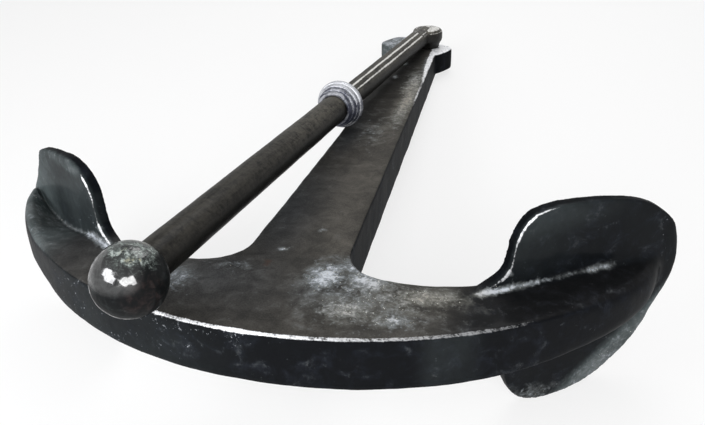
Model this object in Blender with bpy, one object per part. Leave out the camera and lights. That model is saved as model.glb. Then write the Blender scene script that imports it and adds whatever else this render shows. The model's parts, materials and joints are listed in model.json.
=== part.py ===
"""Stocked anchor lying on its palms, with its bent iron stock folded back along the shank.

The anchor is laid out about its own axes first: X across the arms, Y up the shank from the
crown's outer edge, Z normal to the plane of the arms, with that plane's middle at zero.
One empty then tips the whole of it onto the ground, on both lower palms and the head.
"""
import math

import bmesh
import bpy
from mathutils import Matrix, Vector

# ---- Driving dimensions, in metres -------------------------------------------------------

# Arms: one crescent, thick at the crown and thinner towards the bills.
ARM_SPAN_RADIUS = 0.680        # half width of the ellipse that the outer edge follows
ARM_RISE_RADIUS = 0.560        # height of that ellipse
ARM_END_ANGLE = math.radians(74.0)
ARM_FLARE = 0.012              # how far the arm bulges out of that ellipse behind the palm
FLARE_DROP = 0.3               # share of the flare that goes towards the crown
FLARE_ANGLES = (44.0, 62.0, 65.0, 74.0)   # degrees where it starts, is full, fades, has gone
ARM_PALM_ANGLE = math.radians(41.0)       # outer edge's angle where the palm starts
CROWN_THICKNESS = 0.104
RIB_THICKNESS = 0.088          # where the arm is a rib on the palm's back
RIB_START = 0.78               # part of the arm's length where the rib thins to the bill
RIB_THINNING_POWER = 1.5
BILL_LOWER_THICKNESS = 0.046   # twice the rib's depth below the arms' plane at the bill
BILL_UPPER_THICKNESS = 0.084   # and twice its height above it
LEFT_RIB_SAG = 0.035           # how far the left rib's top falls towards its palm
RIB_SAG_SPAN = (0.50, 0.76)    # parts of the arm's length where that sag comes in
BILL_FLAT_HALF = 0.008         # half height of the flat left on the bill's outer edge
BILL_ROUND_WIDTH = 0.020       # how much wider the outer edge's round is at the bill
ROUND_GROWTH_START = 0.42      # part of the arm's length where that round starts to grow
ROUND_SHARE = 0.55             # most of the arm's width that the round may take
INNER_EDGE_LOW = (0.208, 0.1928)   # lowest point of the arm's inner edge
INNER_EDGE_BEND = 1.625            # how fast the inner edge rises either side of it
RIB_EDGE_SPAN = (0.030, 0.376)     # stretch of the palm in which the arm's inner edge hides
RIB_EDGE_DRIFT = 0.004             # how far that edge draws back towards the bill
EDGE_ROUND = 0.006                 # worn round on the crisp edges
ROUND_STEPS = 3
ROUND_MIDDLE = 1.0 - math.cos(math.radians(45.0))
ARM_STATIONS = 22
CROWN_STEPS = 8

# Shank: flat-topped, tapered in width and in thickness.
SHANK_END = 1.672
SHANK_FOOT_HALF_WIDTH = 0.1067
SHANK_NARROWING = 0.0371           # half width lost per metre of shank
SHANK_TAPER_START = 0.310
SHANK_STATIONS = (0.311, 0.570, 0.820, 0.870, 0.920, 0.970, 1.020, 1.220, 1.420, 1.500, 1.580)
SHANK_SWELL = 0.012                # how much the left side bulges over the upper shank
SWELL_SPANS = ((0.82, 1.02), (1.42, 1.58))   # where it comes and where it goes
HEAD_THICKNESS = 0.080
FILLET_RADIUS = 0.088
FILLET_STEPS = 10
HEAD_CORNER = 0.018
HEAD_CORNER_TURNS = (30.0, 60.0, 90.0)

# Head: a forged cross lug around the eye that the stock's leg drops through.
LUG_CENTRE = (-0.0290, 1.634)
LUG_HALF_LENGTH = 0.119
LUG_HALF_WIDTH = 0.060
LUG_CORNER = 0.036
LUG_SKEW = math.radians(-26.6)
LUG_TOP = 0.0385
LUG_BOTTOM = -0.0290
LUG_CORNER_STEPS = 5
EYE_CENTRE = (0.0100, 1.625)
EYE_CLEARANCE = 0.0015
EYE_FLARE = 0.004                  # depth of the worn flare at the lower mouth
EYE_TOP_FLARE = 0.002              # and at the upper one, inside the knob's seat
EYE_SPREAD = 0.8                   # how much wider the flares get for each metre of depth

# Palms: upright spade-shaped plates on the inner side of the arms.
PALM_ROOT = (0.360, 0.197)         # where the back face leaves the arm
PALM_ANGLE = math.radians(34.7)
PALM_THICKNESS = 0.026
PALM_TIP_THICKNESS = 0.017
PALM_THINNING = (0.10, 0.38)       # stretch along the palm over which it thins
PALM_DISH = 0.003                  # how far the back is hollowed this far from the arm:
PALM_DISH_HEIGHT = 0.200
PALM_EDGE_ROUND = 0.004
PALM_SPINE = (0.035, 0.335)        # the plate's rings close on this line
PALM_ROOT_END = (-0.060, 0.0)      # the plate starts inside the arm
PALM_ROOT_UPPER = ((-0.048, 0.034), (-0.010, 0.055), (0.018, 0.069), (0.034, 0.086))
UPPER_LOBE = (                     # along the palm, up from the arm's middle
    (0.040, 0.118), (0.045, 0.138), (0.055, 0.159), (0.077, 0.180), (0.130, 0.187),
    (0.200, 0.182), (0.258, 0.173), (0.299, 0.160), (0.332, 0.142), (0.366, 0.112),
    (0.386, 0.072), (0.392, 0.024),
)
WORN_UPPER_LOBE = (                # the left palm has lost its corner towards the bill
    (0.040, 0.118), (0.045, 0.138), (0.055, 0.159), (0.077, 0.180), (0.130, 0.187),
    (0.190, 0.180), (0.240, 0.175), (0.272, 0.164), (0.296, 0.136), (0.322, 0.096),
    (0.360, 0.056), (0.388, 0.020),
)
LOWER_LOBE = (
    (0.385, -0.022), (0.359, -0.066), (0.320, -0.130), (0.274, -0.178), (0.217, -0.214),
    (0.142, -0.228), (0.092, -0.219), (0.058, -0.190), (0.040, -0.145),
)
PALM_ROOT_LOWER = ((0.032, -0.098), (0.018, -0.072), (-0.010, -0.056), (-0.048, -0.034))
PALM_STEPS = 2                     # points between two outline points
PALM_RINGS = (0.90, 0.70, 0.42)

# Rest: the ground trims small flats on both lower palms and under the head.
FOOT_CONTACT = (0.160, -0.2275)    # lowest place of the palm: along it, and up
HEAD_CONTACT = (1.664, -0.0390)    # lowest place of the head: up the shank, and height
WEAR_DEPTH = 0.0022

# Stock: round bar with a ball, a collar, and an elbow whose leg fills the eye.
ELBOW_HEIGHT = 0.077               # of the bar's axis, where it meets the elbow
BAR_OFFSET = 0.0136                # how far that axis passes to the left of the leg's
UPPER_BAR_RADIUS = 0.0300          # between the elbow and the collar
COLLAR_BAR_RADIUS = 0.0341         # from the collar on, growing towards the ball:
BALL_BAR_RADIUS = 0.0352
BAR_SEGMENTS = 48                  # round the grooved length and the turned pieces
NEAR_SEGMENTS = 44                 # round the plain length and the knob
BAR_CHAMFER = 0.004
BAR_LAP = 0.003                    # how far the thicker length starts before the collar
BAR_DOME = 0.020                   # depth of the dome on the bar's end, inside the elbow
BAR_DOME_STEPS = 5
BALL_RADIUS = 0.0617
BALL_SEGMENTS = 40
BALL_STEPS = 16
BALL_END = (-0.1790, -0.0262)      # plan position of the outer ball's centre
BORE_DEPTH = 0.045                 # how far the bar runs into the ball
COLLAR_DISTANCE = 0.760            # from the elbow to the middle of the collar's flange
COLLAR_FLANGE = (0.0595, 0.014)    # radius and length of the flange that bears on the shank
COLLAR_STEPS = (                   # the narrower turned rings, from the flange to the ball
    (0.0545, 0.011), (0.0490, 0.013), (0.0430, 0.014),
)
COLLAR_CHAMFER = 0.0025
LEG_RADIUS = 0.0335
LEG_RECESS = 0.008                 # how far the leg's end stays inside the eye
ELBOW_PROFILE = (                  # radius of the elbow's knob, and height over the head
    (0.0375, 0.0000), (0.0390, 0.0015), (0.0390, 0.0080), (0.0425, 0.0150),
    (0.0470, 0.0220), (0.0485, 0.0280), (0.0485, 0.0460), (0.0470, 0.0520),
    (0.0420, 0.0565), (0.0330, 0.0590), (0.0000, 0.0605),
)
FLUTE_DEPTH = 0.0022
FLUTE_ANGLES = (38.0, 68.0, 96.0, 132.0)   # degrees round the bar, 90 is its top
FLUTE_HALF_WIDTH = math.radians(9.0)

SEAT_GAP = 0.0003                  # between pieces that bear on each other
SWING_GAP = 0.0006                 # under what sweeps over the shank
TOOL_REACH = 0.020                 # how far a cutter runs past what it cuts
GROUND_SIZE = (3.0, 5.0, 0.1)      # cutter that stands for the ground

CREASE_ANGLE = math.radians(35.0)  # edges sharper than this are shaded crisp

PAINTED_IRON = ("painted_iron", (0.024, 0.025, 0.028), 0.32, 0.35)
BAR_IRON = ("bar_iron", (0.070, 0.064, 0.056), 0.42, 0.55)
BARE_STEEL = ("bare_steel", (0.420, 0.435, 0.470), 0.38, 0.85)


# ---- Scene helpers -----------------------------------------------------------------------

def clear_scene():
    """Remove every object that the scene holds."""
    for item in list(bpy.data.objects):
        bpy.data.objects.remove(item, do_unlink=True)


def make_material(name, colour, roughness, metallic):
    """Return a Principled material of one colour."""
    material = bpy.data.materials.new(name)
    material.use_nodes = True
    shader = material.node_tree.nodes["Principled BSDF"]
    shader.inputs["Base Color"].default_value = (*colour, 1.0)
    shader.inputs["Roughness"].default_value = roughness
    shader.inputs["Metallic"].default_value = metallic
    return material


def make_object(name, mesh_builder, material, parent=None):
    """Turn a bmesh into a named object with smooth shading and crisp edges."""
    bmesh.ops.recalc_face_normals(mesh_builder, faces=mesh_builder.faces)
    mesh = bpy.data.meshes.new(name)
    mesh_builder.to_mesh(mesh)
    mesh_builder.free()
    mesh.materials.append(material)
    mesh.shade_smooth()
    mesh.set_sharp_from_angle(angle=CREASE_ANGLE)
    made = bpy.data.objects.new(name, mesh)
    bpy.context.scene.collection.objects.link(made)
    made.parent = parent
    return made


def hide_tool(tool):
    """Mark an object as a shaping tool that isn't part of the anchor."""
    tool.hide_render = True
    tool.display_type = "WIRE"


def shape_with(target, tool, operation):
    """Join a tool to the target, or cut it away, with an exact Boolean."""
    hide_tool(tool)
    step = target.modifiers.new(f"{operation.lower()}_{tool.name}", "BOOLEAN")
    step.operation = operation
    step.object = tool
    step.solver = "EXACT"


# ---- Plan curves of the anchor's body ----------------------------------------------------

def shank_half_width(y):
    """Half width of the shank at a height y above the crown's edge."""
    return SHANK_FOOT_HALF_WIDTH - SHANK_NARROWING * y


def shank_half_thickness(y):
    """Half thickness of the shank, level up to where its taper starts."""
    along = max(0.0, y - SHANK_TAPER_START) / (SHANK_END - SHANK_TAPER_START)
    return 0.5 * (CROWN_THICKNESS + (HEAD_THICKNESS - CROWN_THICKNESS) * along)


def smooth_step(value):
    """Ease from 0 to 1, flat at both ends."""
    value = min(1.0, max(0.0, value))
    return value * value * (3.0 - 2.0 * value)


def shank_swell(y):
    """How far the shank's left side stands out of its straight taper."""
    (start, full), (fade, gone) = SWELL_SPANS
    rise = smooth_step((y - start) / (full - start))
    return SHANK_SWELL * rise * (1.0 - smooth_step((y - fade) / (gone - fade)))


def outer_edge(angle):
    """Point on the crescent's outer edge, by its angle from the crown."""
    start, full, fade, gone = FLARE_ANGLES
    degrees = math.degrees(angle)
    flare = ARM_FLARE * smooth_step((degrees - start) / (full - start))
    flare *= 1.0 - smooth_step((degrees - fade) / (gone - fade))
    return Vector((ARM_SPAN_RADIUS * math.sin(angle) + flare,
                   ARM_RISE_RADIUS * (1.0 - math.cos(angle)) - FLARE_DROP * flare))


def inner_edge(x):
    """Point on the arm's inner edge between the fillet and the palm."""
    low_x, low_y = INNER_EDGE_LOW
    return Vector((x, low_y + INNER_EDGE_BEND * (x - low_x) ** 2))


def palm_axes():
    """Plan directions along the right palm and out of its inner face."""
    along = Vector((math.cos(PALM_ANGLE), math.sin(PALM_ANGLE)))
    inward = Vector((-math.sin(PALM_ANGLE), math.cos(PALM_ANGLE)))
    return along, inward


def palm_plan(along_distance, inward_distance):
    """Plan point given by its place on the right palm."""
    along, inward = palm_axes()
    return Vector(PALM_ROOT) + along * along_distance + inward * inward_distance


def fillet_curve():
    """Right fillet from the arm's inner edge up to the shank's side, tangent to both."""
    side_slope = math.atan(SHANK_NARROWING)
    side_x = shank_half_width(INNER_EDGE_LOW[1] + FILLET_RADIUS)
    centre_x = side_x + FILLET_RADIUS / math.cos(side_slope)
    centre = Vector((centre_x, inner_edge(centre_x).y + FILLET_RADIUS))
    sweep = math.radians(90.0) - side_slope
    points = []
    for step in range(FILLET_STEPS + 1):
        turn = math.radians(270.0) - sweep * step / FILLET_STEPS
        points.append(centre + FILLET_RADIUS * Vector((math.cos(turn), math.sin(turn))))
    return points


def arm_inner_path(start):
    """Inner edge of the right arm, station by station, ending inside the palm."""
    palm_start = palm_plan(0.0, PALM_THICKNESS)
    free_stations = ARM_STATIONS // 2
    points = []
    for step in range(free_stations + 1):
        x = start.x + (palm_start.x - start.x) * step / free_stations
        points.append(inner_edge(x))
    hidden_start, hidden_end = RIB_EDGE_SPAN
    hidden_stations = ARM_STATIONS - free_stations
    for step in range(1, hidden_stations + 1):
        part = step / hidden_stations
        along = hidden_start + (hidden_end - hidden_start) * part
        points.append(palm_plan(along, 0.5 * PALM_THICKNESS - RIB_EDGE_DRIFT * part))
    return points


def arm_outer_path(start_angle):
    """Outer edge of the right arm, station by station."""
    free_stations = ARM_STATIONS // 2
    points = []
    for step in range(ARM_STATIONS + 1):
        if step <= free_stations:
            angle = start_angle + (ARM_PALM_ANGLE - start_angle) * step / free_stations
        else:
            part = (step - free_stations) / (ARM_STATIONS - free_stations)
            angle = ARM_PALM_ANGLE + (ARM_END_ANGLE - ARM_PALM_ANGLE) * part
        points.append(outer_edge(angle))
    return points


# ---- The bevelled slab that crown, arms and shank are forged as -----------------------------

def arm_half_thickness(part, bill_thickness):
    """How far the arm reaches above or below its plane, by the part of its length."""
    to_rib = min(1.0, part / RIB_START) ** RIB_THINNING_POWER
    thickness = CROWN_THICKNESS + (RIB_THICKNESS - CROWN_THICKNESS) * to_rib
    to_bill = smooth_step((part - RIB_START) / (1.0 - RIB_START))
    return 0.5 * (thickness + (bill_thickness - thickness) * to_bill)


def arm_halves(part):
    """How far the arm reaches below and above its plane, by the part of its length."""
    return tuple(
        arm_half_thickness(part, bill) for bill in (BILL_LOWER_THICKNESS, BILL_UPPER_THICKNESS)
    )


def outer_rounding(part, arm_width, halves):
    """Width of the outer edge's round, which grows towards the bill, and its two heights."""
    growth = smooth_step((part - ROUND_GROWTH_START) / (1.0 - ROUND_GROWTH_START))
    width = min(EDGE_ROUND + BILL_ROUND_WIDTH * growth, ROUND_SHARE * arm_width)
    full_heights = [half - BILL_FLAT_HALF for half in halves]
    heights = tuple(EDGE_ROUND + (full - EDGE_ROUND) * growth for full in full_heights)
    return width, heights


def half_outline(rib_sag):
    """Right half of the body's outline, counter-clockwise, from crown to head.

    Each entry is (plan point, reach below and above the plane, round's width, round's
    heights below and above). The sag is how far the rib's top falls towards its palm.
    """
    fillet = fillet_curve()
    start_angle = math.asin(fillet[0].x / ARM_SPAN_RADIUS)
    outer = arm_outer_path(start_angle)
    inner = arm_inner_path(fillet[0])
    crown = (0.5 * CROWN_THICKNESS,) * 2
    crisp = (EDGE_ROUND,) * 2
    right = []
    for step in range(1, CROWN_STEPS):
        angle = start_angle * step / CROWN_STEPS
        right.append((outer_edge(angle), crown, EDGE_ROUND, crisp))
    for step, point in enumerate(outer):
        halves = arm_halves(step / ARM_STATIONS)
        width, heights = outer_rounding(step / ARM_STATIONS, (point - inner[step]).length, halves)
        right.append((point, halves, width, heights))
    sag_start, sag_end = RIB_SAG_SPAN
    for step in range(ARM_STATIONS, -1, -1):
        below, above = arm_halves(step / ARM_STATIONS)
        sag_share = smooth_step((step / ARM_STATIONS - sag_start) / (sag_end - sag_start))
        right.append((inner[step], (below, above - rib_sag * sag_share), EDGE_ROUND, crisp))
    for point in fillet[1:]:
        right.append((point, crown, EDGE_ROUND, crisp))
    for y in (*SHANK_STATIONS, SHANK_END - HEAD_CORNER):
        halves = (shank_half_thickness(y),) * 2
        right.append((Vector((shank_half_width(y), y)), halves, EDGE_ROUND, crisp))
    corner_x = shank_half_width(SHANK_END) - HEAD_CORNER
    for turn in HEAD_CORNER_TURNS:
        x = corner_x + HEAD_CORNER * math.cos(math.radians(turn))
        y = SHANK_END - HEAD_CORNER + HEAD_CORNER * math.sin(math.radians(turn))
        right.append((Vector((x, y)), (shank_half_thickness(y),) * 2, EDGE_ROUND, crisp))
    return right


def body_outline():
    """Closed outline of the body, counter-clockwise, with entries as in half_outline."""
    left = []
    for point, *rest in reversed(half_outline(LEFT_RIB_SAG)):
        left.append((Vector((-point.x - shank_swell(point.y), point.y)), *rest))
    bottom = (outer_edge(0.0), (0.5 * CROWN_THICKNESS,) * 2, EDGE_ROUND, (EDGE_ROUND,) * 2)
    return [bottom] + half_outline(0.0) + left


def inward_normals(points):
    """Mitred inward direction at each corner of a counter-clockwise outline."""
    normals = []
    count = len(points)
    for index, point in enumerate(points):
        before = (point - points[index - 1]).normalized()
        after = (points[(index + 1) % count] - point).normalized()
        normal_before = Vector((-before.y, before.x))
        normal_after = Vector((-after.y, after.x))
        mitre = (normal_before + normal_after).normalized()
        normals.append(mitre / max(0.5, mitre.dot(normal_after)))
    return normals


def body_slab():
    """Closed slab of crown, arms and shank, as a bmesh."""
    outline = body_outline()
    points = [entry[0] for entry in outline]
    normals = inward_normals(points)
    count = len(outline)
    builder = bmesh.new()
    rings = []
    for side in (-1.0, 1.0):
        levels = range(ROUND_STEPS + 1)
        if side > 0.0:
            levels = reversed(levels)
        for level in levels:
            turn = math.radians(90.0) * level / ROUND_STEPS
            ring = []
            for (point, halves, width, heights), normal in zip(outline, normals):
                above = side > 0.0
                inset = width * (1.0 - math.sin(turn))
                z = side * (halves[above] - heights[above] * (1.0 - math.cos(turn)))
                flat = point + normal * inset
                ring.append(builder.verts.new((flat.x, flat.y, z)))
            rings.append(ring)
    for lower, upper in zip(rings, rings[1:]):
        for index in range(count):
            after = (index + 1) % count
            builder.faces.new((lower[index], lower[after], upper[after], upper[index]))
    for ring in (rings[0], rings[-1]):
        cap_faces(builder, ring)
    return builder


def cap_faces(builder, ring):
    """Close the slab's top or bottom: flat crown, then strips along arms and shank."""
    first_outer = CROWN_STEPS
    last_outer = first_outer + ARM_STATIONS
    first_inner = last_outer + 1 + ARM_STATIONS
    count = len(ring)

    def mirrored(index):
        """Index of the same point on the left half."""
        return (count - index) % count

    for step in range(ARM_STATIONS):
        outer_index = first_outer + step
        inner_index = first_inner - step
        quad = (outer_index, outer_index + 1, inner_index - 1, inner_index)
        builder.faces.new([ring[index] for index in quad])
        builder.faces.new([ring[mirrored(index)] for index in quad])
    shank_start = first_inner + FILLET_STEPS
    head_end = (count - 1) // 2
    for index in range(shank_start, head_end):
        quad = (index, index + 1, mirrored(index + 1), mirrored(index))
        builder.faces.new([ring[corner] for corner in quad])
    right_side = list(range(0, first_outer + 1)) + list(range(first_inner, shank_start + 1))
    left_side = [mirrored(index) for index in reversed(right_side) if index != 0]
    builder.faces.new([ring[index] for index in right_side + left_side])


# ---- Palms -------------------------------------------------------------------------------

def smooth_closed_curve(points, steps):
    """Closed Catmull-Rom curve through the points."""
    count = len(points)
    curve = []
    for index in range(count):
        p0, p1, p2, p3 = (Vector(points[(index + shift) % count]) for shift in (-1, 0, 1, 2))
        for step in range(steps):
            t = step / steps
            curve.append(0.5 * (2.0 * p1 + (p2 - p0) * t
                                + (2.0 * p0 - 5.0 * p1 + 4.0 * p2 - p3) * t * t
                                + (3.0 * p1 - p0 - 3.0 * p2 + p3) * t ** 3))
    return curve


def palm_point(s, z, depth):
    """Point of the palm: depth 0 is its back face, 1 its inner face."""
    thick_until, thin_from = PALM_THINNING
    towards_tip = min(1.0, max(0.0, (s - thick_until) / (thin_from - thick_until)))
    thickness = PALM_THICKNESS + (PALM_TIP_THICKNESS - PALM_THICKNESS) * towards_tip
    dish = PALM_DISH * (z / PALM_DISH_HEIGHT) ** 2
    plan = palm_plan(s, dish + thickness * depth)
    return Vector((plan.x, plan.y, z))


def palm_plate(upper_lobe, side):
    """Palm as a closed plate with rounded edges; side 1 is right, -1 left."""
    corners = (PALM_ROOT_END, *PALM_ROOT_UPPER, *upper_lobe, *LOWER_LOBE, *PALM_ROOT_LOWER)
    outline = smooth_closed_curve(corners, PALM_STEPS)
    spine_start, spine_end = PALM_SPINE
    builder = bmesh.new()

    def ring_at(scale, inset, depth):
        """One ring of the plate, scaled towards the spine and inset from its edge."""
        ring = []
        for point in outline:
            centre = Vector((min(spine_end, max(spine_start, point.x)), 0.0))
            reach = point - centre
            length = reach.length
            shrunk = centre + reach * (scale * max(0.0, length - inset) / length)
            place = palm_point(shrunk.x, shrunk.y, depth)
            ring.append(builder.verts.new((side * place.x, place.y, place.z)))
        return ring

    round_share = PALM_EDGE_ROUND / PALM_THICKNESS
    rings = [ring_at(scale, PALM_EDGE_ROUND, 0.0) for scale in reversed(PALM_RINGS)]
    rings.append(ring_at(1.0, PALM_EDGE_ROUND, 0.0))
    rings.append(ring_at(1.0, ROUND_MIDDLE * PALM_EDGE_ROUND, ROUND_MIDDLE * round_share))
    rings.append(ring_at(1.0, 0.0, round_share))
    rings.append(ring_at(1.0, 0.0, 1.0 - round_share))
    rings.append(ring_at(1.0, ROUND_MIDDLE * PALM_EDGE_ROUND, 1.0 - ROUND_MIDDLE * round_share))
    rings.append(ring_at(1.0, PALM_EDGE_ROUND, 1.0))
    rings += [ring_at(scale, PALM_EDGE_ROUND, 1.0) for scale in PALM_RINGS]
    count = len(outline)
    for lower, upper in zip(rings, rings[1:]):
        for index in range(count):
            after = (index + 1) % count
            builder.faces.new((lower[index], lower[after], upper[after], upper[index]))
    for ring in (rings[0], rings[-1]):
        builder.faces.new(ring)
    return builder


# ---- Turned pieces -----------------------------------------------------------------------

def turned(profile, segments, radius_at=None):
    """Closed solid of revolution about Z, from (radius, height) points.

    A radius of zero at either end closes the solid there; otherwise the profile is a
    loop round a bore. radius_at can change a radius by its angle.
    """
    builder = bmesh.new()
    rings = []
    for radius, height in profile:
        if radius == 0.0:
            rings.append([builder.verts.new((0.0, 0.0, height))])
            continue
        ring = []
        for step in range(segments):
            turn = 2.0 * math.pi * step / segments
            r = radius_at(radius, turn) if radius_at else radius
            ring.append(builder.verts.new((r * math.cos(turn), r * math.sin(turn), height)))
        rings.append(ring)
    pairs = list(zip(rings, rings[1:]))
    if profile[0][0] > 0.0:
        pairs.append((rings[-1], rings[0]))
    for first, second in pairs:
        for step in range(segments):
            after = (step + 1) % segments
            if len(first) == 1:
                builder.faces.new((first[0], second[after], second[step]))
            elif len(second) == 1:
                builder.faces.new((first[step], first[after], second[0]))
            else:
                builder.faces.new((first[step], first[after], second[after], second[step]))
    return builder


def ball_profile():
    """Ball about its centre, bored from +Z for the bar's end."""
    bore = BALL_BAR_RADIUS + SEAT_GAP
    bore_floor = BALL_RADIUS - BORE_DEPTH
    mouth = math.asin(bore / BALL_RADIUS)
    profile = [(0.0, bore_floor), (bore, bore_floor)]
    for step in range(BALL_STEPS):
        turn = mouth + (math.pi - mouth) * step / BALL_STEPS
        profile.append((BALL_RADIUS * math.sin(turn), BALL_RADIUS * math.cos(turn)))
    profile.append((0.0, -BALL_RADIUS))
    return profile


def collar_profile():
    """Collar's section from its flange at zero up to its narrowest ring."""
    bore = COLLAR_BAR_RADIUS + 2.0 * SEAT_GAP
    profile = [(bore, 0.0)]
    height = 0.0
    for radius, length in (COLLAR_FLANGE, *COLLAR_STEPS):
        profile += [
            (radius - COLLAR_CHAMFER, height),
            (radius, height + COLLAR_CHAMFER),
            (radius, height + length - COLLAR_CHAMFER),
            (radius - COLLAR_CHAMFER, height + length),
        ]
        height += length
    profile.append((bore, height))
    return profile


def elbow_profile(bottom):
    """Knob of the elbow, from its seat on the head up to its crowned top."""
    return [(0.0, bottom)] + [(radius, bottom + rise) for radius, rise in ELBOW_PROFILE]


def eye_profile():
    """Cutter for the head's eye, flared at both mouths."""
    radius = LEG_RADIUS + EYE_CLEARANCE
    half = 0.5 * HEAD_THICKNESS
    end = half + TOOL_REACH
    return [
        (0.0, -end),
        (radius + EYE_SPREAD * (EYE_FLARE + TOOL_REACH), -end),
        (radius, -half + EYE_FLARE),
        (radius, half - EYE_TOP_FLARE),
        (radius + EYE_SPREAD * (EYE_TOP_FLARE + TOOL_REACH), end),
        (0.0, end),
    ]


# ---- The stock's line --------------------------------------------------------------------

def stock_line():
    """Elbow point, direction towards the outer ball, and distance between them.

    The elbow's knob bears on the head, and the collar's flange just clears the shank's top.
    """
    elbow = Vector((EYE_CENTRE[0] - BAR_OFFSET, EYE_CENTRE[1], ELBOW_HEIGHT))
    plan = Vector(BALL_END) - elbow.xy
    plan_length = plan.length
    plan.normalize()
    flange_radius, flange_length = COLLAR_FLANGE
    rim_distance = COLLAR_DISTANCE + 0.5 * flange_length
    rim_y = elbow.y + plan.y * rim_distance
    rim_height = shank_half_thickness(rim_y) + flange_radius + SWING_GAP
    slope = (rim_height - elbow.z) / rim_distance
    direction = Vector((plan.x, plan.y, slope)).normalized()
    length = plan_length * math.sqrt(1.0 + slope * slope)
    return elbow, direction, length


def place_along(item, origin, direction):
    """Stand an object's Z axis along a direction, with its X axis kept level."""
    across = Vector((0.0, 0.0, 1.0)).cross(direction).normalized()
    upward = direction.cross(across)
    turn = Matrix((across, upward, direction)).transposed().to_4x4()
    item.matrix_basis = Matrix.Translation(origin) @ turn


def fluted(radius, turn):
    """Bar radius with shallow grooves worn along its upper side."""
    for angle in FLUTE_ANGLES:
        away = abs(turn - math.radians(angle)) / FLUTE_HALF_WIDTH
        if away < 1.0:
            radius -= FLUTE_DEPTH * 0.5 * (1.0 + math.cos(math.pi * away))
    return radius


# ---- Assembly ----------------------------------------------------------------------------

def build_body(material, frame):
    """Forge the crown, arms, palms, shank and head as one piece."""
    body = make_object("anchor_body", body_slab(), material, frame)
    for name, lobe, side in (("right_palm_tool", UPPER_LOBE, 1.0),
                             ("left_palm_tool", WORN_UPPER_LOBE, -1.0)):
        shape_with(body, make_object(name, palm_plate(lobe, side), material, frame), "UNION")
    lug = make_object("lug_tool", head_lug(), material, frame)
    shape_with(body, lug, "UNION")
    eye = make_object("eye_tool", turned(eye_profile(), BAR_SEGMENTS), material, frame)
    eye.location = (*EYE_CENTRE, 0.0)
    shape_with(body, eye, "DIFFERENCE")
    ground = make_object("ground_tool", ground_block(), material)
    shape_with(body, ground, "DIFFERENCE")
    return body


def head_lug():
    """Cross lug of the head: a block with round corners, set askew, as a bmesh."""
    points = []
    for corner_x, corner_y, first in ((1, 1, 0), (-1, 1, 90), (-1, -1, 180), (1, -1, 270)):
        centre = Vector((corner_x * (LUG_HALF_LENGTH - LUG_CORNER),
                         corner_y * (LUG_HALF_WIDTH - LUG_CORNER)))
        for step in range(LUG_CORNER_STEPS + 1):
            turn = math.radians(first + 90.0 * step / LUG_CORNER_STEPS)
            points.append(centre + LUG_CORNER * Vector((math.cos(turn), math.sin(turn))))
    builder = bmesh.new()
    rings = []
    middle = ROUND_MIDDLE * EDGE_ROUND
    for inset, z in ((EDGE_ROUND, LUG_BOTTOM), (middle, LUG_BOTTOM + middle),
                     (0.0, LUG_BOTTOM + EDGE_ROUND), (0.0, LUG_TOP - EDGE_ROUND),
                     (middle, LUG_TOP - middle), (EDGE_ROUND, LUG_TOP)):
        ring = []
        for point, normal in zip(points, inward_normals(points)):
            flat = point + normal * inset
            x = flat.x * math.cos(LUG_SKEW) - flat.y * math.sin(LUG_SKEW) + LUG_CENTRE[0]
            y = flat.x * math.sin(LUG_SKEW) + flat.y * math.cos(LUG_SKEW) + LUG_CENTRE[1]
            ring.append(builder.verts.new((x, y, z)))
        rings.append(ring)
    count = len(points)
    for lower, upper in zip(rings, rings[1:]):
        for index in range(count):
            after = (index + 1) % count
            builder.faces.new((lower[index], lower[after], upper[after], upper[index]))
    builder.faces.new(rings[0])
    builder.faces.new(rings[-1])
    return builder


def ground_block():
    """Block below the ground, which cuts the worn flats of the palms and the head."""
    builder = bmesh.new()
    bmesh.ops.create_cube(builder, size=1.0)
    bmesh.ops.scale(builder, vec=GROUND_SIZE, verts=builder.verts)
    bmesh.ops.translate(builder, vec=(0.0, 0.0, -0.5 * GROUND_SIZE[2]), verts=builder.verts)
    return builder


def upper_bar_profile(end):
    """Grooved length of the bar, from the dome inside the elbow to its lap with the rest."""
    profile = [(0.0, -BAR_DOME)]
    for step in range(1, BAR_DOME_STEPS + 1):
        turn = math.radians(90.0) * step / BAR_DOME_STEPS
        profile.append((UPPER_BAR_RADIUS * math.sin(turn), -BAR_DOME * math.cos(turn)))
    return profile + [(UPPER_BAR_RADIUS, end), (0.0, end)]


def near_bar_profile(start, end):
    """Plain length of the bar, from the collar to its end inside the ball."""
    return [
        (0.0, start),
        (COLLAR_BAR_RADIUS - BAR_CHAMFER, start),
        (COLLAR_BAR_RADIUS, start + 0.5 * BAR_CHAMFER),
        (BALL_BAR_RADIUS, end - BORE_DEPTH),
        (BALL_BAR_RADIUS, end - BAR_CHAMFER),
        (BALL_BAR_RADIUS - BAR_CHAMFER, end),
        (0.0, end),
    ]


def leg_profile(bottom, top):
    """Leg that fills the eye."""
    return [
        (0.0, bottom),
        (LEG_RADIUS - BAR_CHAMFER, bottom),
        (LEG_RADIUS, bottom + BAR_CHAMFER),
        (LEG_RADIUS, top),
        (0.0, top),
    ]


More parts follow.
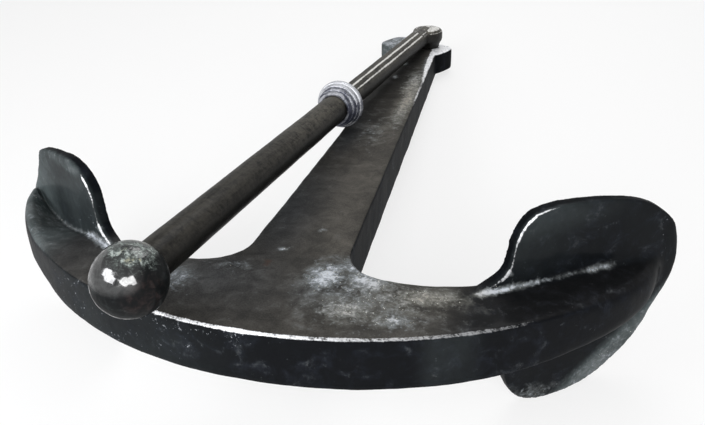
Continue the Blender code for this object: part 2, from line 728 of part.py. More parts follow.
def build_stock(iron, steel, swivel):
    """Build the bar with its elbow and leg, the collar and the ball, about the leg's axis."""
    elbow, direction, length = stock_line()
    bar_start = elbow - Vector((*EYE_CENTRE, 0.0))
    head_top = shank_half_thickness(EYE_CENTRE[1] - ELBOW_PROFILE[0][0])
    collar_start = COLLAR_DISTANCE / direction.xy.length - 0.5 * COLLAR_FLANGE[1]
    bar_end = length - BALL_RADIUS + BORE_DEPTH - SEAT_GAP

    upper = turned(upper_bar_profile(collar_start), BAR_SEGMENTS, fluted)
    bar = make_object("stock_bar", upper, iron, swivel)
    place_along(bar, bar_start, direction)
    near = turned(near_bar_profile(collar_start - BAR_LAP, bar_end), NEAR_SEGMENTS)
    near_tool = make_object("near_bar_tool", near, iron, swivel)
    place_along(near_tool, bar_start, direction)
    shape_with(bar, near_tool, "UNION")
    knob = turned(elbow_profile(head_top + SEAT_GAP), NEAR_SEGMENTS)
    shape_with(bar, make_object("elbow_tool", knob, iron, swivel), "UNION")
    leg = turned(leg_profile(LEG_RECESS - head_top, ELBOW_HEIGHT), BAR_SEGMENTS)
    shape_with(bar, make_object("leg_tool", leg, iron, swivel), "UNION")

    collar = make_object("stock_collar", turned(collar_profile(), BAR_SEGMENTS), steel, swivel)
    place_along(collar, bar_start + direction * collar_start, direction)
    outer_ball = make_object("outer_ball", turned(ball_profile(), BALL_SEGMENTS), iron, swivel)
    place_along(outer_ball, bar_start + direction * length, -direction)


def lay_on_ground(frame):
    """Tip and lift the anchor until its lower palms and its head meet the ground."""
    foot = palm_plan(FOOT_CONTACT[0], 0.5 * PALM_THICKNESS)
    foot_height = FOOT_CONTACT[1]
    head_y, head_height = HEAD_CONTACT
    tilt = math.atan2(head_height - foot_height, head_y - foot.y)
    lift = foot.y * math.sin(tilt) - foot_height * math.cos(tilt)
    frame.rotation_euler = (-tilt, 0.0, 0.0)
    frame.location.z = lift - WEAR_DEPTH


def centre_over_origin(frame):
    """Shift the anchor so that the origin is under the middle of its bounding box."""
    bpy.context.view_layer.update()
    depsgraph = bpy.context.evaluated_depsgraph_get()
    corners = []
    for item in bpy.context.scene.objects:
        if item.type == "MESH" and not item.hide_render:
            evaluated = item.evaluated_get(depsgraph)
            mesh = evaluated.to_mesh()
            corners += [evaluated.matrix_world @ vertex.co for vertex in mesh.vertices]
            evaluated.to_mesh_clear()
    for axis in (0, 1):
        values = [corner[axis] for corner in corners]
        frame.location[axis] -= 0.5 * (min(values) + max(values))


def main():
    """Build the anchor and lay it on the ground, centred over the origin."""
    clear_scene()
    painted = make_material(*PAINTED_IRON)
    bar_iron = make_material(*BAR_IRON)
    steel = make_material(*BARE_STEEL)
    frame = bpy.data.objects.new("anchor_frame", None)
    bpy.context.scene.collection.objects.link(frame)
    swivel = bpy.data.objects.new("stock_swivel", None)
    bpy.context.scene.collection.objects.link(swivel)
    swivel.parent = frame
    swivel.location = (*EYE_CENTRE, 0.0)
    lay_on_ground(frame)
    build_body(painted, frame)
    build_stock(bar_iron, steel, swivel)
    centre_over_origin(frame)


main()
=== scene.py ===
"""Looks of a weathered iron stock anchor that lies on the ground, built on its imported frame."""

import json
import logging
import math
from dataclasses import asdict, dataclass, field
from enum import Enum
from typing import Any, Callable, Mapping, Optional, Sequence, Union

import bmesh
import bpy
import numpy as np
from mathutils import Matrix, Vector, kdtree

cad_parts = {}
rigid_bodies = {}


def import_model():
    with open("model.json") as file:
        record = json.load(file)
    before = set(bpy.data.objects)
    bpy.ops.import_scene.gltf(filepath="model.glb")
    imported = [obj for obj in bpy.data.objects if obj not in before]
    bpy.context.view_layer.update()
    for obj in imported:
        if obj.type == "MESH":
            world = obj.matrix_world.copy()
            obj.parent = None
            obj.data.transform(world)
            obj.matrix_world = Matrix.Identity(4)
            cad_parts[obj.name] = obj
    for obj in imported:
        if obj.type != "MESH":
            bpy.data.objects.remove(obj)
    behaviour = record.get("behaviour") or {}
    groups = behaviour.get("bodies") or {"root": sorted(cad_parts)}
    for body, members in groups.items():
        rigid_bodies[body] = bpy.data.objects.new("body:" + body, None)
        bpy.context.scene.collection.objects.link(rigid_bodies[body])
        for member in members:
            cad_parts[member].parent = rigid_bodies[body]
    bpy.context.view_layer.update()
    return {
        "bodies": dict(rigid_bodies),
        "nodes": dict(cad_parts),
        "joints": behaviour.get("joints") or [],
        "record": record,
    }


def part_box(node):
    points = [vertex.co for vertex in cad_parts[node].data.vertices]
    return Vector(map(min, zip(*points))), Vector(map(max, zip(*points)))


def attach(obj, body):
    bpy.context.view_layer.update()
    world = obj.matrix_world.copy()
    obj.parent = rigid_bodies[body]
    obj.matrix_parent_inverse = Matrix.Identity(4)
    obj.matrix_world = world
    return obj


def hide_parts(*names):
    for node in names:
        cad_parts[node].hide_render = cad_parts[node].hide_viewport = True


LOG = logging.getLogger("anchor")
MILLIMETRE = 0.001
WELD = 0.01 * MILLIMETRE  # points nearer than this are one
SMOOTHING_LEVELS = 8  # steps that the weights of a smoothing are told apart in
EYE = (0.0100, 1.625)  # the eye's distances across and along from the crown's outer edge
WHITE = (1.0, 1.0, 1.0)
UPWARD = Vector((0.0, 0.0, 1.0))

Number = Union[int, float]
Triple = tuple[float, float, float]
Colour = Triple
Sockets = Optional[Mapping[Any, Any]]
Frame = Mapping[str, Any]


# ---- Node trees --------------------------------------------------------------------------


def operator(operation: str, swapped: bool = False) -> Callable[["Value", "Operand"], "Value"]:
    """Write a method of Value that adds a Math node.

    Args:
        operation: the node's operation.
        swapped: True where the other operand comes first.

    Returns:
        The method.
    """

    def method(self: "Value", other: "Operand") -> "Value":
        """Return the node's result."""
        pair = (other, self) if swapped else (self, other)
        return self.graph.math(operation, *pair)

    return method


class Value:
    """A socket that carries a number, with the arithmetic that finishes are written in."""

    __add__, __radd__ = operator("ADD"), operator("ADD", True)
    __sub__, __rsub__ = operator("SUBTRACT"), operator("SUBTRACT", True)
    __mul__, __rmul__ = operator("MULTIPLY"), operator("MULTIPLY", True)
    most = operator("MAXIMUM")

    def __init__(self, graph: "Graph", socket: bpy.types.NodeSocket) -> None:
        """Keep the tree and the socket."""
        self.graph = graph
        self.socket = socket

    def clamped(self) -> "Value":
        """Return self held between 0 and 1."""
        return self.graph.math("ADD", self, 0.0, clamp=True)

    def stirred(self, *noises: tuple["Value", float]) -> "Value":
        """Return self plus noises, each taken about its middle and times its amount."""
        return sum(((noise - 0.5) * amount for noise, amount in noises), self)


Operand = Union[Value, Number]


class Graph:
    """A tree that is being written."""

    def __init__(self, tree: bpy.types.NodeTree) -> None:
        """Keep the tree."""
        self.tree = tree

    def fill(self, inputs: Sequence[bpy.types.NodeSocket], sockets: Sockets) -> None:
        """Set or link a node's inputs.

        Args:
            inputs: the inputs.
            sockets: numbers, colours, vectors, values or sockets for them, by name or index.
        """
        for name, value in (sockets or {}).items():
            socket = inputs[name]
            if isinstance(value, Value):
                value = value.socket
            if isinstance(value, bpy.types.NodeSocket):
                self.tree.links.new(value, socket)
            else:
                socket.default_value = (*value, 1.0) if socket.type == "RGBA" else value

    def node(self, kind: str, sockets: Sockets = None, **settings: Any) -> bpy.types.Node:
        """Add one node.

        Args:
            kind: the node's type name.
            sockets: what its inputs take, by name or index.
            **settings: its properties.

        Returns:
            The node.
        """
        node = self.tree.nodes.new(kind)
        for name, value in settings.items():
            setattr(node, name, value)
        self.fill(node.inputs, sockets)
        return node

    def value(self, kind: str, sockets: Sockets = None, **settings: Any) -> Value:
        """Add one node and return its first output."""
        return Value(self, self.node(kind, sockets, **settings).outputs[0])

    def math(self, operation: str, first: Operand, second: Operand, clamp: bool = False) -> Value:
        """Return what a Math node makes of two operands, held between 0 and 1 on demand."""
        sockets = {0: first, 1: second}
        return self.value("ShaderNodeMath", sockets, operation=operation, use_clamp=clamp)

    def step(self, value: Operand, low: float, high: float) -> Value:
        """Return value eased from 0 at low to 1 at high."""
        sockets = {"Value": value, "From Min": low, "From Max": high}
        return self.value("ShaderNodeMapRange", sockets, interpolation_type="SMOOTHSTEP")


class ShaderGraph(Graph):
    """The tree of a material that is being written."""

    def __init__(self, name: str) -> None:
        """Start a material.

        Args:
            name: the material's name.
        """
        self.material = bpy.data.materials.new(name)
        self.material.use_nodes = True
        super().__init__(self.material.node_tree)
        self.shader = self.tree.nodes["Principled BSDF"]
        self.place = self.node("ShaderNodeTexCoord").outputs["Object"]

    def finished(self, sockets: Sockets) -> bpy.types.Material:
        """Fill the shader's inputs and return the material."""
        self.fill(self.shader.inputs, sockets)
        return self.material

    def mask(self, name: str) -> Value:
        """Return a number that the mesh carries at its points."""
        return Value(self, self.node("ShaderNodeAttribute", attribute_name=name).outputs["Fac"])

    def noise(
        self,
        size: float,
        detail: float = 3.0,
        roughness: float = 0.55,
        distortion: float = 0.0,
        place: Optional[bpy.types.NodeSocket] = None,
    ) -> Value:
        """Return fractal noise.

        Args:
            size: distance between its lumps, in metres.
            detail: octaves.
            roughness: weight of the finer octaves.
            distortion: how far the lumps are pulled about.
            place: coordinates other than the object's own.

        Returns:
            The noise, about 0.5.
        """
        sockets = {"Vector": place or self.place, "Scale": 1.0 / size, "Detail": detail}
        sockets |= {"Roughness": roughness, "Distortion": distortion}
        return self.value("ShaderNodeTexNoise", sockets)

    def blend(self, factor: Operand, first: Any, second: Any) -> bpy.types.NodeSocket:
        """Mix two colours.

        Args:
            factor: share of the second.
            first: a colour or a colour socket.
            second: a colour or a colour socket.

        Returns:
            The colour socket.
        """
        node = self.node("ShaderNodeMix", data_type="RGBA")
        inputs = [socket for socket in node.inputs if socket.enabled]
        self.fill(inputs, {0: factor, 1: first, 2: second})
        return next(socket for socket in node.outputs if socket.enabled)

    def bump(self, height: Value, distance: float) -> bpy.types.NodeSocket:
        """Return the normal of a height, where 1 stands for a distance in metres."""
        sockets = {"Height": height, "Distance": distance, "Strength": 1.0}
        return self.node("ShaderNodeBump", sockets).outputs["Normal"]


# ---- Frame -------------------------------------------------------------------------------


@dataclass(frozen=True)
class AnchorAxes:
    """The anchor's own axes: across its arms, along its shank, and square to both."""

    origin: Vector
    across: Vector
    along: Vector
    square: Vector

    @classmethod
    def from_swivel(cls, joint: Mapping[str, Any], eye: tuple[float, float]) -> "AnchorAxes":
        """Find the axes from the stock's swivel.

        Args:
            joint: the swivel, as the frame gives it.
            eye: the eye's distances across and along from the origin, in metres.

        Returns:
            The axes.
        """
        square = Vector(joint["axis"]).normalized()
        across = Vector((1.0, 0.0, 0.0))
        along = square.cross(across)
        origin = Vector(joint["pos_m"]) - across * eye[0] - along * eye[1]
        return cls(origin, across, along, square)

    def matrix(self) -> Matrix:
        """Work out the matrix from these axes to the frame's.

        Returns:
            The matrix.
        """
        columns = (self.across, self.along, self.square)
        turn = Matrix([list(axis) for axis in columns]).transposed().to_4x4()
        return Matrix.Translation(self.origin) @ turn

    def read(self, points: np.ndarray) -> np.ndarray:
        """Return points of the frame, one a row, in these axes."""
        inverse = np.array(self.matrix().inverted())
        return points @ inverse[:3, :3].T + inverse[:3, 3]


# ---- Meshes ------------------------------------------------------------------------------


class Edge(Enum):
    """Which way a sharp edge turns."""

    RIDGE = 1
    HOLLOW = -1


def merged_mesh(node: bpy.types.Object) -> bmesh.types.BMesh:
    """Copy a frame node's triangles and join them along their edges.

    Args:
        node: the frame's object.

    Returns:
        The joined mesh.
    """
    mesh = bmesh.new()
    mesh.from_mesh(node.data)
    bmesh.ops.remove_doubles(mesh, verts=mesh.verts, dist=WELD)
    bmesh.ops.recalc_face_normals(mesh, faces=mesh.faces)
    return mesh


def edge_points(
    mesh: bmesh.types.BMesh, kind: Edge, least_turn: float, spacing: float
) -> np.ndarray:
    """Find points along a mesh's sharp edges.

    Args:
        mesh: the mesh.
        kind: ridges or hollows.
        least_turn: smallest angle between the two faces, in degrees.
        spacing: distance between points, in metres.

    Returns:
        The points, one a row.
    """
    found = []
    for edge in mesh.edges:
        if len(edge.link_faces) != 2:
            continue
        turn = math.degrees(edge.calc_face_angle_signed(0.0))
        if turn * kind.value < least_turn:
            continue
        start, end = (vertex.co for vertex in edge.verts)
        count = max(1, math.ceil((end - start).length / spacing))
        found += [start.lerp(end, index / count) for index in range(count + 1)]
    return np.array([tuple(point) for point in found]).reshape(-1, 3)


def nearness(points: np.ndarray, targets: np.ndarray, reach: float) -> np.ndarray:
    """Rate how near points lie to targets.

    Args:
        points: the points, one a row.
        targets: the targets, one a row.
        reach: distance at which the rate falls to 0, in metres.

    Returns:
        1 on a target down to 0 at the reach.
    """
    if not len(targets):
        return np.zeros(len(points))
    tree = kdtree.KDTree(len(targets))
    for index, target in enumerate(targets):
        tree.insert(target, index)
    tree.balance()
    distances = np.array([tree.find(point)[2] for point in points])
    return np.clip(1.0 - distances / reach, 0.0, 1.0)


def placed(name: str, data: Any) -> bpy.types.Object:
    """Put an object with its data in the scene.

    Args:
        name: the object's name.
        data: its mesh, light or camera.

    Returns:
        The object.
    """
    piece = bpy.data.objects.new(name, data)
    bpy.context.scene.collection.objects.link(piece)
    return piece


def object_of(mesh: bmesh.types.BMesh, name: str) -> bpy.types.Object:
    """Put a mesh in the scene as an object.

    Args:
        mesh: the mesh, which is freed.
        name: the object's name.

    Returns:
        The object.
    """
    data = bpy.data.meshes.new(name)
    mesh.to_mesh(data)
    mesh.free()
    return placed(name, data)


def settled(piece: bpy.types.Object) -> bpy.types.Object:
    """Turn a piece's modifiers into plain mesh.

    Args:
        piece: the piece.

    Returns:
        The piece.
    """
    bpy.context.view_layer.update()
    graph = bpy.context.evaluated_depsgraph_get()
    mesh = bpy.data.meshes.new_from_object(
        piece.evaluated_get(graph), preserve_all_data_layers=True, depsgraph=graph
    )
    piece.modifiers.clear()
    old = piece.data
    piece.data = mesh
    bpy.data.meshes.remove(old)
    mesh.name = piece.name
    return piece


def numbers_of(items: Any, name: str, width: int = 3) -> np.ndarray:
    """Read numbers that each item of a mesh has.

    Args:
        items: vertices, normals or an attribute's data.
        name: what is read of an item.
        width: how many numbers an item has.

    Returns:
        The numbers, one item a row.
    """
    values = np.zeros(len(items) * width, np.float32)
    items.foreach_get(name, values)
    return values.reshape(-1, width).astype(float)


def points_of(piece: bpy.types.Object) -> np.ndarray:
    """Return a piece's vertices, one a row."""
    return numbers_of(piece.data.vertices, "co")


def normals_of(piece: bpy.types.Object) -> np.ndarray:
    """Return the normals at a piece's vertices, one a row."""
    return numbers_of(piece.data.vertex_normals, "vector")


def store(piece: bpy.types.Object, name: str, values: np.ndarray) -> None:
    """Keep one number a vertex with a piece's mesh."""
    layer = piece.data.attributes.get(name) or piece.data.attributes.new(name, "FLOAT", "POINT")
    layer.data.foreach_set("value", values.astype(np.float32))


def stored(piece: bpy.types.Object, name: str) -> np.ndarray:
    """Return the numbers that were kept under a name."""
    return numbers_of(piece.data.attributes[name].data, "value", 1)[:, 0]


def soften(piece: bpy.types.Object, weights: np.ndarray, rounds: int) -> None:
    """Smooth a piece where its weights are high.

    Args:
        piece: the piece.
        weights: a number from 0 to 1 for each vertex.
        rounds: rounds of smoothing.
    """
    if not rounds:
        return
    group = piece.vertex_groups.new(name="soften")
    marks = np.rint(weights * SMOOTHING_LEVELS).astype(int)
    for level in range(1, SMOOTHING_LEVELS + 1):
        share = level / SMOOTHING_LEVELS
        group.add(np.nonzero(marks == level)[0].tolist(), share, "REPLACE")
    smooth = piece.modifiers.new("soften", "SMOOTH")
    smooth.factor = 0.5
    smooth.iterations = rounds
    smooth.vertex_group = "soften"
    settled(piece)
    piece.vertex_groups.clear()


def slim(piece: bpy.types.Object, most: int) -> None:
    """Join faces of a piece where it is flat until it is small enough.

    Args:
        piece: the piece.
        most: how many triangles it may have.
    """
    triangles = sum(face.loop_total - 2 for face in piece.data.polygons)
    if triangles > most:
        joined = piece.modifiers.new("slim", "DECIMATE")
        joined.ratio = most / triangles
        settled(piece)


def eased(values: np.ndarray, low: float, high: float) -> np.ndarray:
    """Return values eased from 0 at low to 1 at high."""
    share = np.clip((values - low) / (high - low), 0.0, 1.0)
    return share * share * (3.0 - 2.0 * share)


def peaked(values: np.ndarray, middle: float, width: float) -> np.ndarray:
    """Return a bell curve of values: 1 at the middle, 0.37 a width away."""
    return np.exp(-(((values - middle) / width) ** 2))


# ---- Geometry trees ----------------------------------------------------------------------


@dataclass
class GeometryTool:
    """A geometry tree with named inputs."""

    name: str
    graph: Graph = field(init=False)
    source: bpy.types.Node = field(init=False)
    identifiers: dict[str, str] = field(init=False, default_factory=dict)

    def __post_init__(self) -> None:
        """Start the tree."""
        tree = bpy.data.node_groups.new(self.name, "GeometryNodeTree")
        for way in ("INPUT", "OUTPUT"):
            tree.interface.new_socket("Geometry", in_out=way, socket_type="NodeSocketGeometry")
        self.graph = Graph(tree)
        self.source = tree.nodes.new("NodeGroupInput")

    def size(self, name: str) -> Value:
        """Add an input for a size.

        Args:
            name: the input's name.

        Returns:
            The input.
        """
        tree = self.graph.tree
        item = tree.interface.new_socket(name, in_out="INPUT", socket_type="NodeSocketFloat")
        self.identifiers[name] = item.identifier
        return Value(self.graph, self.source.outputs[name])

    def named(self, name: str) -> Value:
        """Return a number that the mesh carries at its points."""
        kind = "GeometryNodeInputNamedAttribute"
        return self.graph.value(kind, {"Name": name}, data_type="FLOAT")

    def end(self, node: bpy.types.Node) -> None:
        """Send a node's geometry out of the tree."""
        output = self.graph.tree.nodes.new("NodeGroupOutput")
        self.graph.tree.links.new(node.outputs[0], output.inputs[0])

    def work(self, piece: bpy.types.Object, sizes: Mapping[str, Number]) -> bpy.types.Object:
        """Run the tree on a piece and keep the result as plain mesh.

        Args:
            piece: the piece.
            sizes: values of the named inputs.

        Returns:
            The piece.
        """
        modifier = piece.modifiers.new(self.name, "NODES")
        modifier.node_group = self.graph.tree
        for name, value in sizes.items():
            modifier[self.identifiers[name]] = float(value)
        return settled(piece)


@dataclass(frozen=True)
class Forging:
    """Spacings and heights of a forged surface's lumps, hammer dents and crust, in metres."""

    lump_size: float
    lump_height: float
    dent_size: float
    dent_height: float
    crust_height: float = 0.0

    def work(self, piece: bpy.types.Object) -> bpy.types.Object:
        """Give a smooth solid the lumps, hammer marks and pits of old iron.

        Args:
            piece: the solid, with its crust and its calm stored.

        Returns:
            The piece.
        """
        tool = GeometryTool("forging")
        graph = tool.graph
        sizes = asdict(self)
        lump, lump_height, dent, dent_height, crust_height = map(tool.size, sizes)
        place = graph.node("GeometryNodeInputPosition").outputs[0]
        normal = graph.node("GeometryNodeInputNormal").outputs[0]

        def waves(size: Value, detail: float) -> Value:
            """Add noise of a size.

            Args:
                size: distance between its lumps, in metres.
                detail: octaves.

            Returns:
                The noise, about 0.
            """
            sockets = {"Vector": place, "Scale": graph.math("DIVIDE", 1.0, size)}
            sockets |= {"Detail": detail, "Roughness": 0.5}
            return graph.value("ShaderNodeTexNoise", sockets) - 0.5

        loose = 1.0 - tool.named("calm")
        shape = waves(lump, 1.0) * lump_height + waves(dent, 2.0) * dent_height
        crust = tool.named("crust") * (waves(dent * 0.35, 3.0) + 0.5) * crust_height
        sockets = {0: normal, "Scale": shape * loose + crust * loose}
        offset = graph.node("ShaderNodeVectorMath", sockets, operation="SCALE").outputs[0]
        sockets = {"Geometry": tool.source.outputs[0], "Offset": offset}
        tool.end(graph.node("GeometryNodeSetPosition", sockets))
        return tool.work(piece, sizes)


@dataclass(frozen=True)
class Grains:
    """Small flattened grains of crust on a skin, where its crust is thick."""

    density: float = 16000.0
    smallest: float = 0.0005
    largest: float = 0.0014
    shape: Triple = (1.0, 0.8, 0.45)
    crust: tuple[float, float] = (0.35, 1.0)
    seed: int = 7

    def work(self, piece: bpy.types.Object, material: bpy.types.Material) -> bpy.types.Object:
        """Scatter the grains over a skin and leave only them.

        Args:
            piece: a copy of the skin.
            material: the grains' finish.

        Returns:
            The grains.
        """
        tool = GeometryTool("crust_grains")
        graph = tool.graph
        density, smallest, largest = map(tool.size, ("Density", "Smallest", "Largest"))
        amount = graph.step(tool.named("crust"), *self.crust) * density
        sockets = {"Mesh": tool.source.outputs[0], "Density": amount, "Seed": self.seed}
        points = graph.node("GeometryNodeDistributePointsOnFaces", sockets)
        ball = graph.node("GeometryNodeMeshIcoSphere", {"Radius": 1.0, "Subdivisions": 1})
        sockets = {2: smallest, 3: largest, "Seed": self.seed + 1}
        scales = graph.node("FunctionNodeRandomValue", sockets, data_type="FLOAT")
        sockets = {"Points": points.outputs["Points"], "Instance": ball.outputs["Mesh"]}
        sockets |= {"Rotation": points.outputs["Rotation"], "Scale": scales.outputs[1]}
        grains = graph.node("GeometryNodeInstanceOnPoints", sockets)
        sockets = {"Instances": grains.outputs[0], "Scale": self.shape}
        flat = graph.node("GeometryNodeScaleInstances", sockets)
        real = graph.node("GeometryNodeRealizeInstances", {"Geometry": flat.outputs[0]})
        sockets = {"Geometry": real.outputs[0], "Material": material}
        tool.end(graph.node("GeometryNodeSetMaterial", sockets))
        sizes = {"Density": self.density, "Smallest": self.smallest, "Largest": self.largest}
        return tool.work(piece, sizes)


# ---- Finishes ----------------------------------------------------------------------------


@dataclass(frozen=True)
class WornPaint:
    """Near-black paint over forged iron, dusty on top, rubbed to metal at its edges, with pale
    crust; painted highlights ride on the rubbed edges, painted reflections on the palms and lug,
    and a painted shadow of the stock thins the dust.
    """

    name: str = "worn_black_paint"
    paint: Colour = (0.0028, 0.0035, 0.0046)
    paint_light: Colour = (0.0085, 0.0105, 0.0150)
    brown: Colour = (0.092, 0.085, 0.074)
    brown_dark: Colour = (0.042, 0.0395, 0.035)
    cool: Colour = (0.074, 0.076, 0.078)
    cool_dark: Colour = (0.034, 0.0355, 0.0375)
    film_and_reflection: Colour = (0.095, 0.115, 0.118)
    metal: Colour = (0.91, 0.92, 0.94)
    metal_dull: Colour = (0.22, 0.23, 0.27)
    haze: Colour = (0.150, 0.160, 0.160)
    haze_warm: Colour = (0.158, 0.152, 0.126)
    crust: Colour = (0.54, 0.57, 0.62)
    crust_dull: Colour = (0.188, 0.206, 0.220)
    crust_dull_warm: Colour = (0.206, 0.204, 0.188)
    crust_warm: Colour = (0.36, 0.335, 0.29)
    rust: Colour = (0.060, 0.024, 0.013)

    def build(self) -> bpy.types.Material:
        """Make the material.

        Returns:
            The material.
        """
        graph = ShaderGraph(self.name)
        broad = graph.noise(0.15, 4.0, 0.6, 0.4)
        mottle = graph.noise(0.038, 6.0, 0.66, 0.5)
        cloud = graph.noise(0.017, 6.0, 0.68, 0.4)
        fine = graph.noise(0.0055, 4.0, 0.65)
        grain = graph.noise(0.0024, 2.0, 0.6)

        paint = graph.blend(graph.step(mottle, 0.46, 0.74), self.paint, self.paint_light)
        dusty = graph.step(mottle * 0.45 + broad * 0.20 + grain * 0.35, 0.36, 0.64)
        brown = graph.blend(dusty, self.brown_dark, self.brown)
        cool = graph.blend(dusty, self.cool_dark, self.cool)
        dust = graph.blend(graph.mask("cool"), brown, cool)
        # The dust share is thinner where the stock's bar shadows the shank, as painted shadow.
        dust_share = (graph.mask("dust") * (0.72 + mottle * 0.5)).clamped()
        colour = graph.blend(dust_share, paint, dust)

        veil = graph.step(broad, 0.34, 0.64) * 0.42 + graph.step(cloud, 0.30, 0.66) * 0.22
        # The film also stands in for painted reflection on the right palm's lower tip and the left
        # lug, and for painted sheen along the right palm's top.
        film_and_reflection = (graph.mask("film_and_reflection") * (veil + 0.38)).clamped()
        colour = graph.blend(film_and_reflection, colour, self.film_and_reflection)
        rust = graph.step(graph.mask("rust").stirred((mottle, 1.2), (broad, 0.8)), 0.42, 0.72)
        colour = graph.blend(rust * 0.55, colour, self.rust)

        haze = (graph.mask("crust") * 0.9).stirred((mottle, 1.4), (cloud, 1.0))
        warm = graph.mask("warm")
        haze_colour = graph.blend(warm, self.haze, self.haze_warm)
        colour = graph.blend(graph.step(haze, 0.12, 0.85) * 0.62, colour, haze_colour)
        crust_field = graph.mask("crust").stirred((cloud, 2.1), (fine, 1.3))
        crust = graph.step(crust_field, 0.38, 1.00)
        peak = graph.step(crust_field, 0.76, 1.30)
        crust_low = graph.blend(warm, self.crust_dull, self.crust_dull_warm)
        crust_light = graph.blend(warm, self.crust, self.crust_warm)
        crust_colour = graph.blend(peak, crust_low, crust_light)
        colour = graph.blend(crust * 0.9, colour, crust_colour)
        speck = graph.step(graph.mask("speck").stirred((fine, 2.6), (mottle, 1.4)), 0.78, 1.02)
        colour = graph.blend(speck * 0.75, colour, self.crust)

        # Rubbed metal at the edges, partly wear and partly painted highlight, scaled by how bright
        # that painted highlight is.
        worn_field = graph.mask("worn").stirred((mottle, 0.65), (fine, 0.60), (grain, 0.30))
        worn = graph.step(worn_field, 0.56, 0.84) * graph.mask("painted_light")
        patches = graph.step(fine * 0.5 + cloud * 0.5, 0.30, 0.50)
        metal = graph.blend(patches, self.metal_dull, self.metal)
        colour = graph.blend(worn, colour, metal)

        relief = mottle * 0.45 + fine * 0.22 + crust * 0.5 + speck * 0.25
        gloss = graph.mask("gloss") * (1.0 - crust) * (1.0 - speck) * (1.15 - mottle * 0.5)
        return graph.finished(
            {
                "Base Color": colour,
                "Roughness": 0.50 + mottle * 0.16 + crust * 0.25 - worn * 0.22,
                "Metallic": worn * 0.25,
                "Specular IOR Level": 0.03,
                "Coat Weight": gloss.clamped(),
                "Coat Roughness": 0.13,
                "Normal": graph.bump(relief, 1.3 * MILLIMETRE),
            }
        )


@dataclass(frozen=True)
class BareBarIron:
    """Brown-black forged bar, handled smooth, streaked along its length, with painted highlight
    lines along its upper length, a painted highlight on its knob's top, and painted light on its
    upward faces.
    """

    turn: Triple
    name: str = "bare_bar_iron"
    stretch: Triple = (1.0, 1.0, 0.07)
    dark: Colour = (0.0034, 0.0032, 0.0028)
    middle: Colour = (0.0120, 0.0112, 0.0100)
    # The colour of the bar's painted light on its upward faces.
    light: Colour = (0.112, 0.104, 0.086)
    metal: Colour = (0.72, 0.71, 0.68)

    def build(self) -> bpy.types.Material:
        """Make the material.

        Returns:
            The material.
        """
        graph = ShaderGraph(self.name)
        sockets = {"Vector": graph.place, "Rotation": self.turn, "Scale": WHITE}
        along = graph.node("ShaderNodeMapping", sockets, vector_type="POINT").outputs[0]
        sockets = {"Vector": along, "Scale": self.stretch}
        drawn = graph.node("ShaderNodeMapping", sockets, vector_type="POINT").outputs[0]
        streak = graph.noise(0.009, 4.0, 0.62, place=drawn)
        mottle = graph.noise(0.030, 5.0, 0.62, 0.5)
        fine = graph.noise(0.004, 3.0, 0.6)
        pits = graph.noise(0.0085, 4.0, 0.66, 0.4)
        tone = streak * 0.25 + mottle * 0.35 + fine * 0.15 + pits * 0.30
        body = graph.blend(graph.step(tone, 0.38, 0.68), self.dark, self.middle)
        # Painted light: upward faces turn lighter, most near the collar and the knob.
        sky = graph.mask("skyward") * graph.step(tone, 0.39, 0.64)
        body = graph.blend(sky, body, self.light)
        # Painted highlights along the bar and on the knob's top, shown as bright metal, with
        # rubbed metal on the knob's edges.
        worn = graph.step(graph.mask("worn").stirred((streak, 0.8), (pits, 0.9)), 0.50, 0.86)
        relief = streak * 0.25 + mottle * 0.4 + pits * 0.55 + fine * 0.25
        return graph.finished(
            {
                "Base Color": graph.blend(worn, body, self.metal),
                "Roughness": 0.46 + mottle * 0.2 - worn * 0.2,
                "Metallic": worn * 0.7,
                "Specular IOR Level": 0.08,
                "Coat Weight": graph.mask("gloss"),
                "Coat Roughness": 0.22,
                "Normal": graph.bump(relief, 0.8 * MILLIMETRE),
            }
        )


@dataclass(frozen=True)
class TurnedSteel:
    """Turned rings, bright where painted light falls and dull blue-grey in painted shade, with
    painted highlights on their edges, darker in their grooves.
    """

    name: str = "turned_steel"
    # A lit and a shaded copy of the steel's colour, for painted light and shade.
    painted_light: Colour = (0.46, 0.47, 0.50)
    dim: Colour = (0.052, 0.056, 0.082)
    groove_dark: Colour = (0.022, 0.024, 0.038)
    edge: Colour = (0.86, 0.87, 0.90)

    def build(self) -> bpy.types.Material:
        """Make the material.

        Returns:
            The material.
        """
        graph = ShaderGraph(self.name)
        mottle = graph.noise(0.018, 5.0, 0.64, 0.5)
        fine = graph.noise(0.003, 3.0, 0.6)
        # Painted light and shade: the flange and faces turned left and up take the lit colour,
        # faces turned right and down the shaded one.
        shine = graph.mask("shine")
        share = graph.step(shine.stirred((mottle, 2.0)), 0.20, 0.85)
        colour = graph.blend(share, self.dim, self.painted_light)
        # Darker towards the grooves.
        groove_dark = (graph.mask("hollow") * 1.2).stirred((fine, 0.6)).clamped()
        colour = graph.blend(groove_dark, colour, self.groove_dark)
        # Painted highlights on the rings' edges, strongest where the painted light is.
        edge_field = graph.mask("edge") * (shine * 0.6 + 0.5)
        edge = graph.step(edge_field.stirred((fine, 0.6)), 0.4, 0.95)
        return graph.finished(
            {
                "Base Color": graph.blend(edge * 0.8, colour, self.edge),
                "Roughness": 0.36 + mottle * 0.25,
                "Metallic": 0.7 - groove_dark * 0.5,
                "Specular IOR Level": 0.2,
                "Normal": graph.bump(mottle * 0.4 + fine * 0.3, 0.5 * MILLIMETRE),
            }
        )


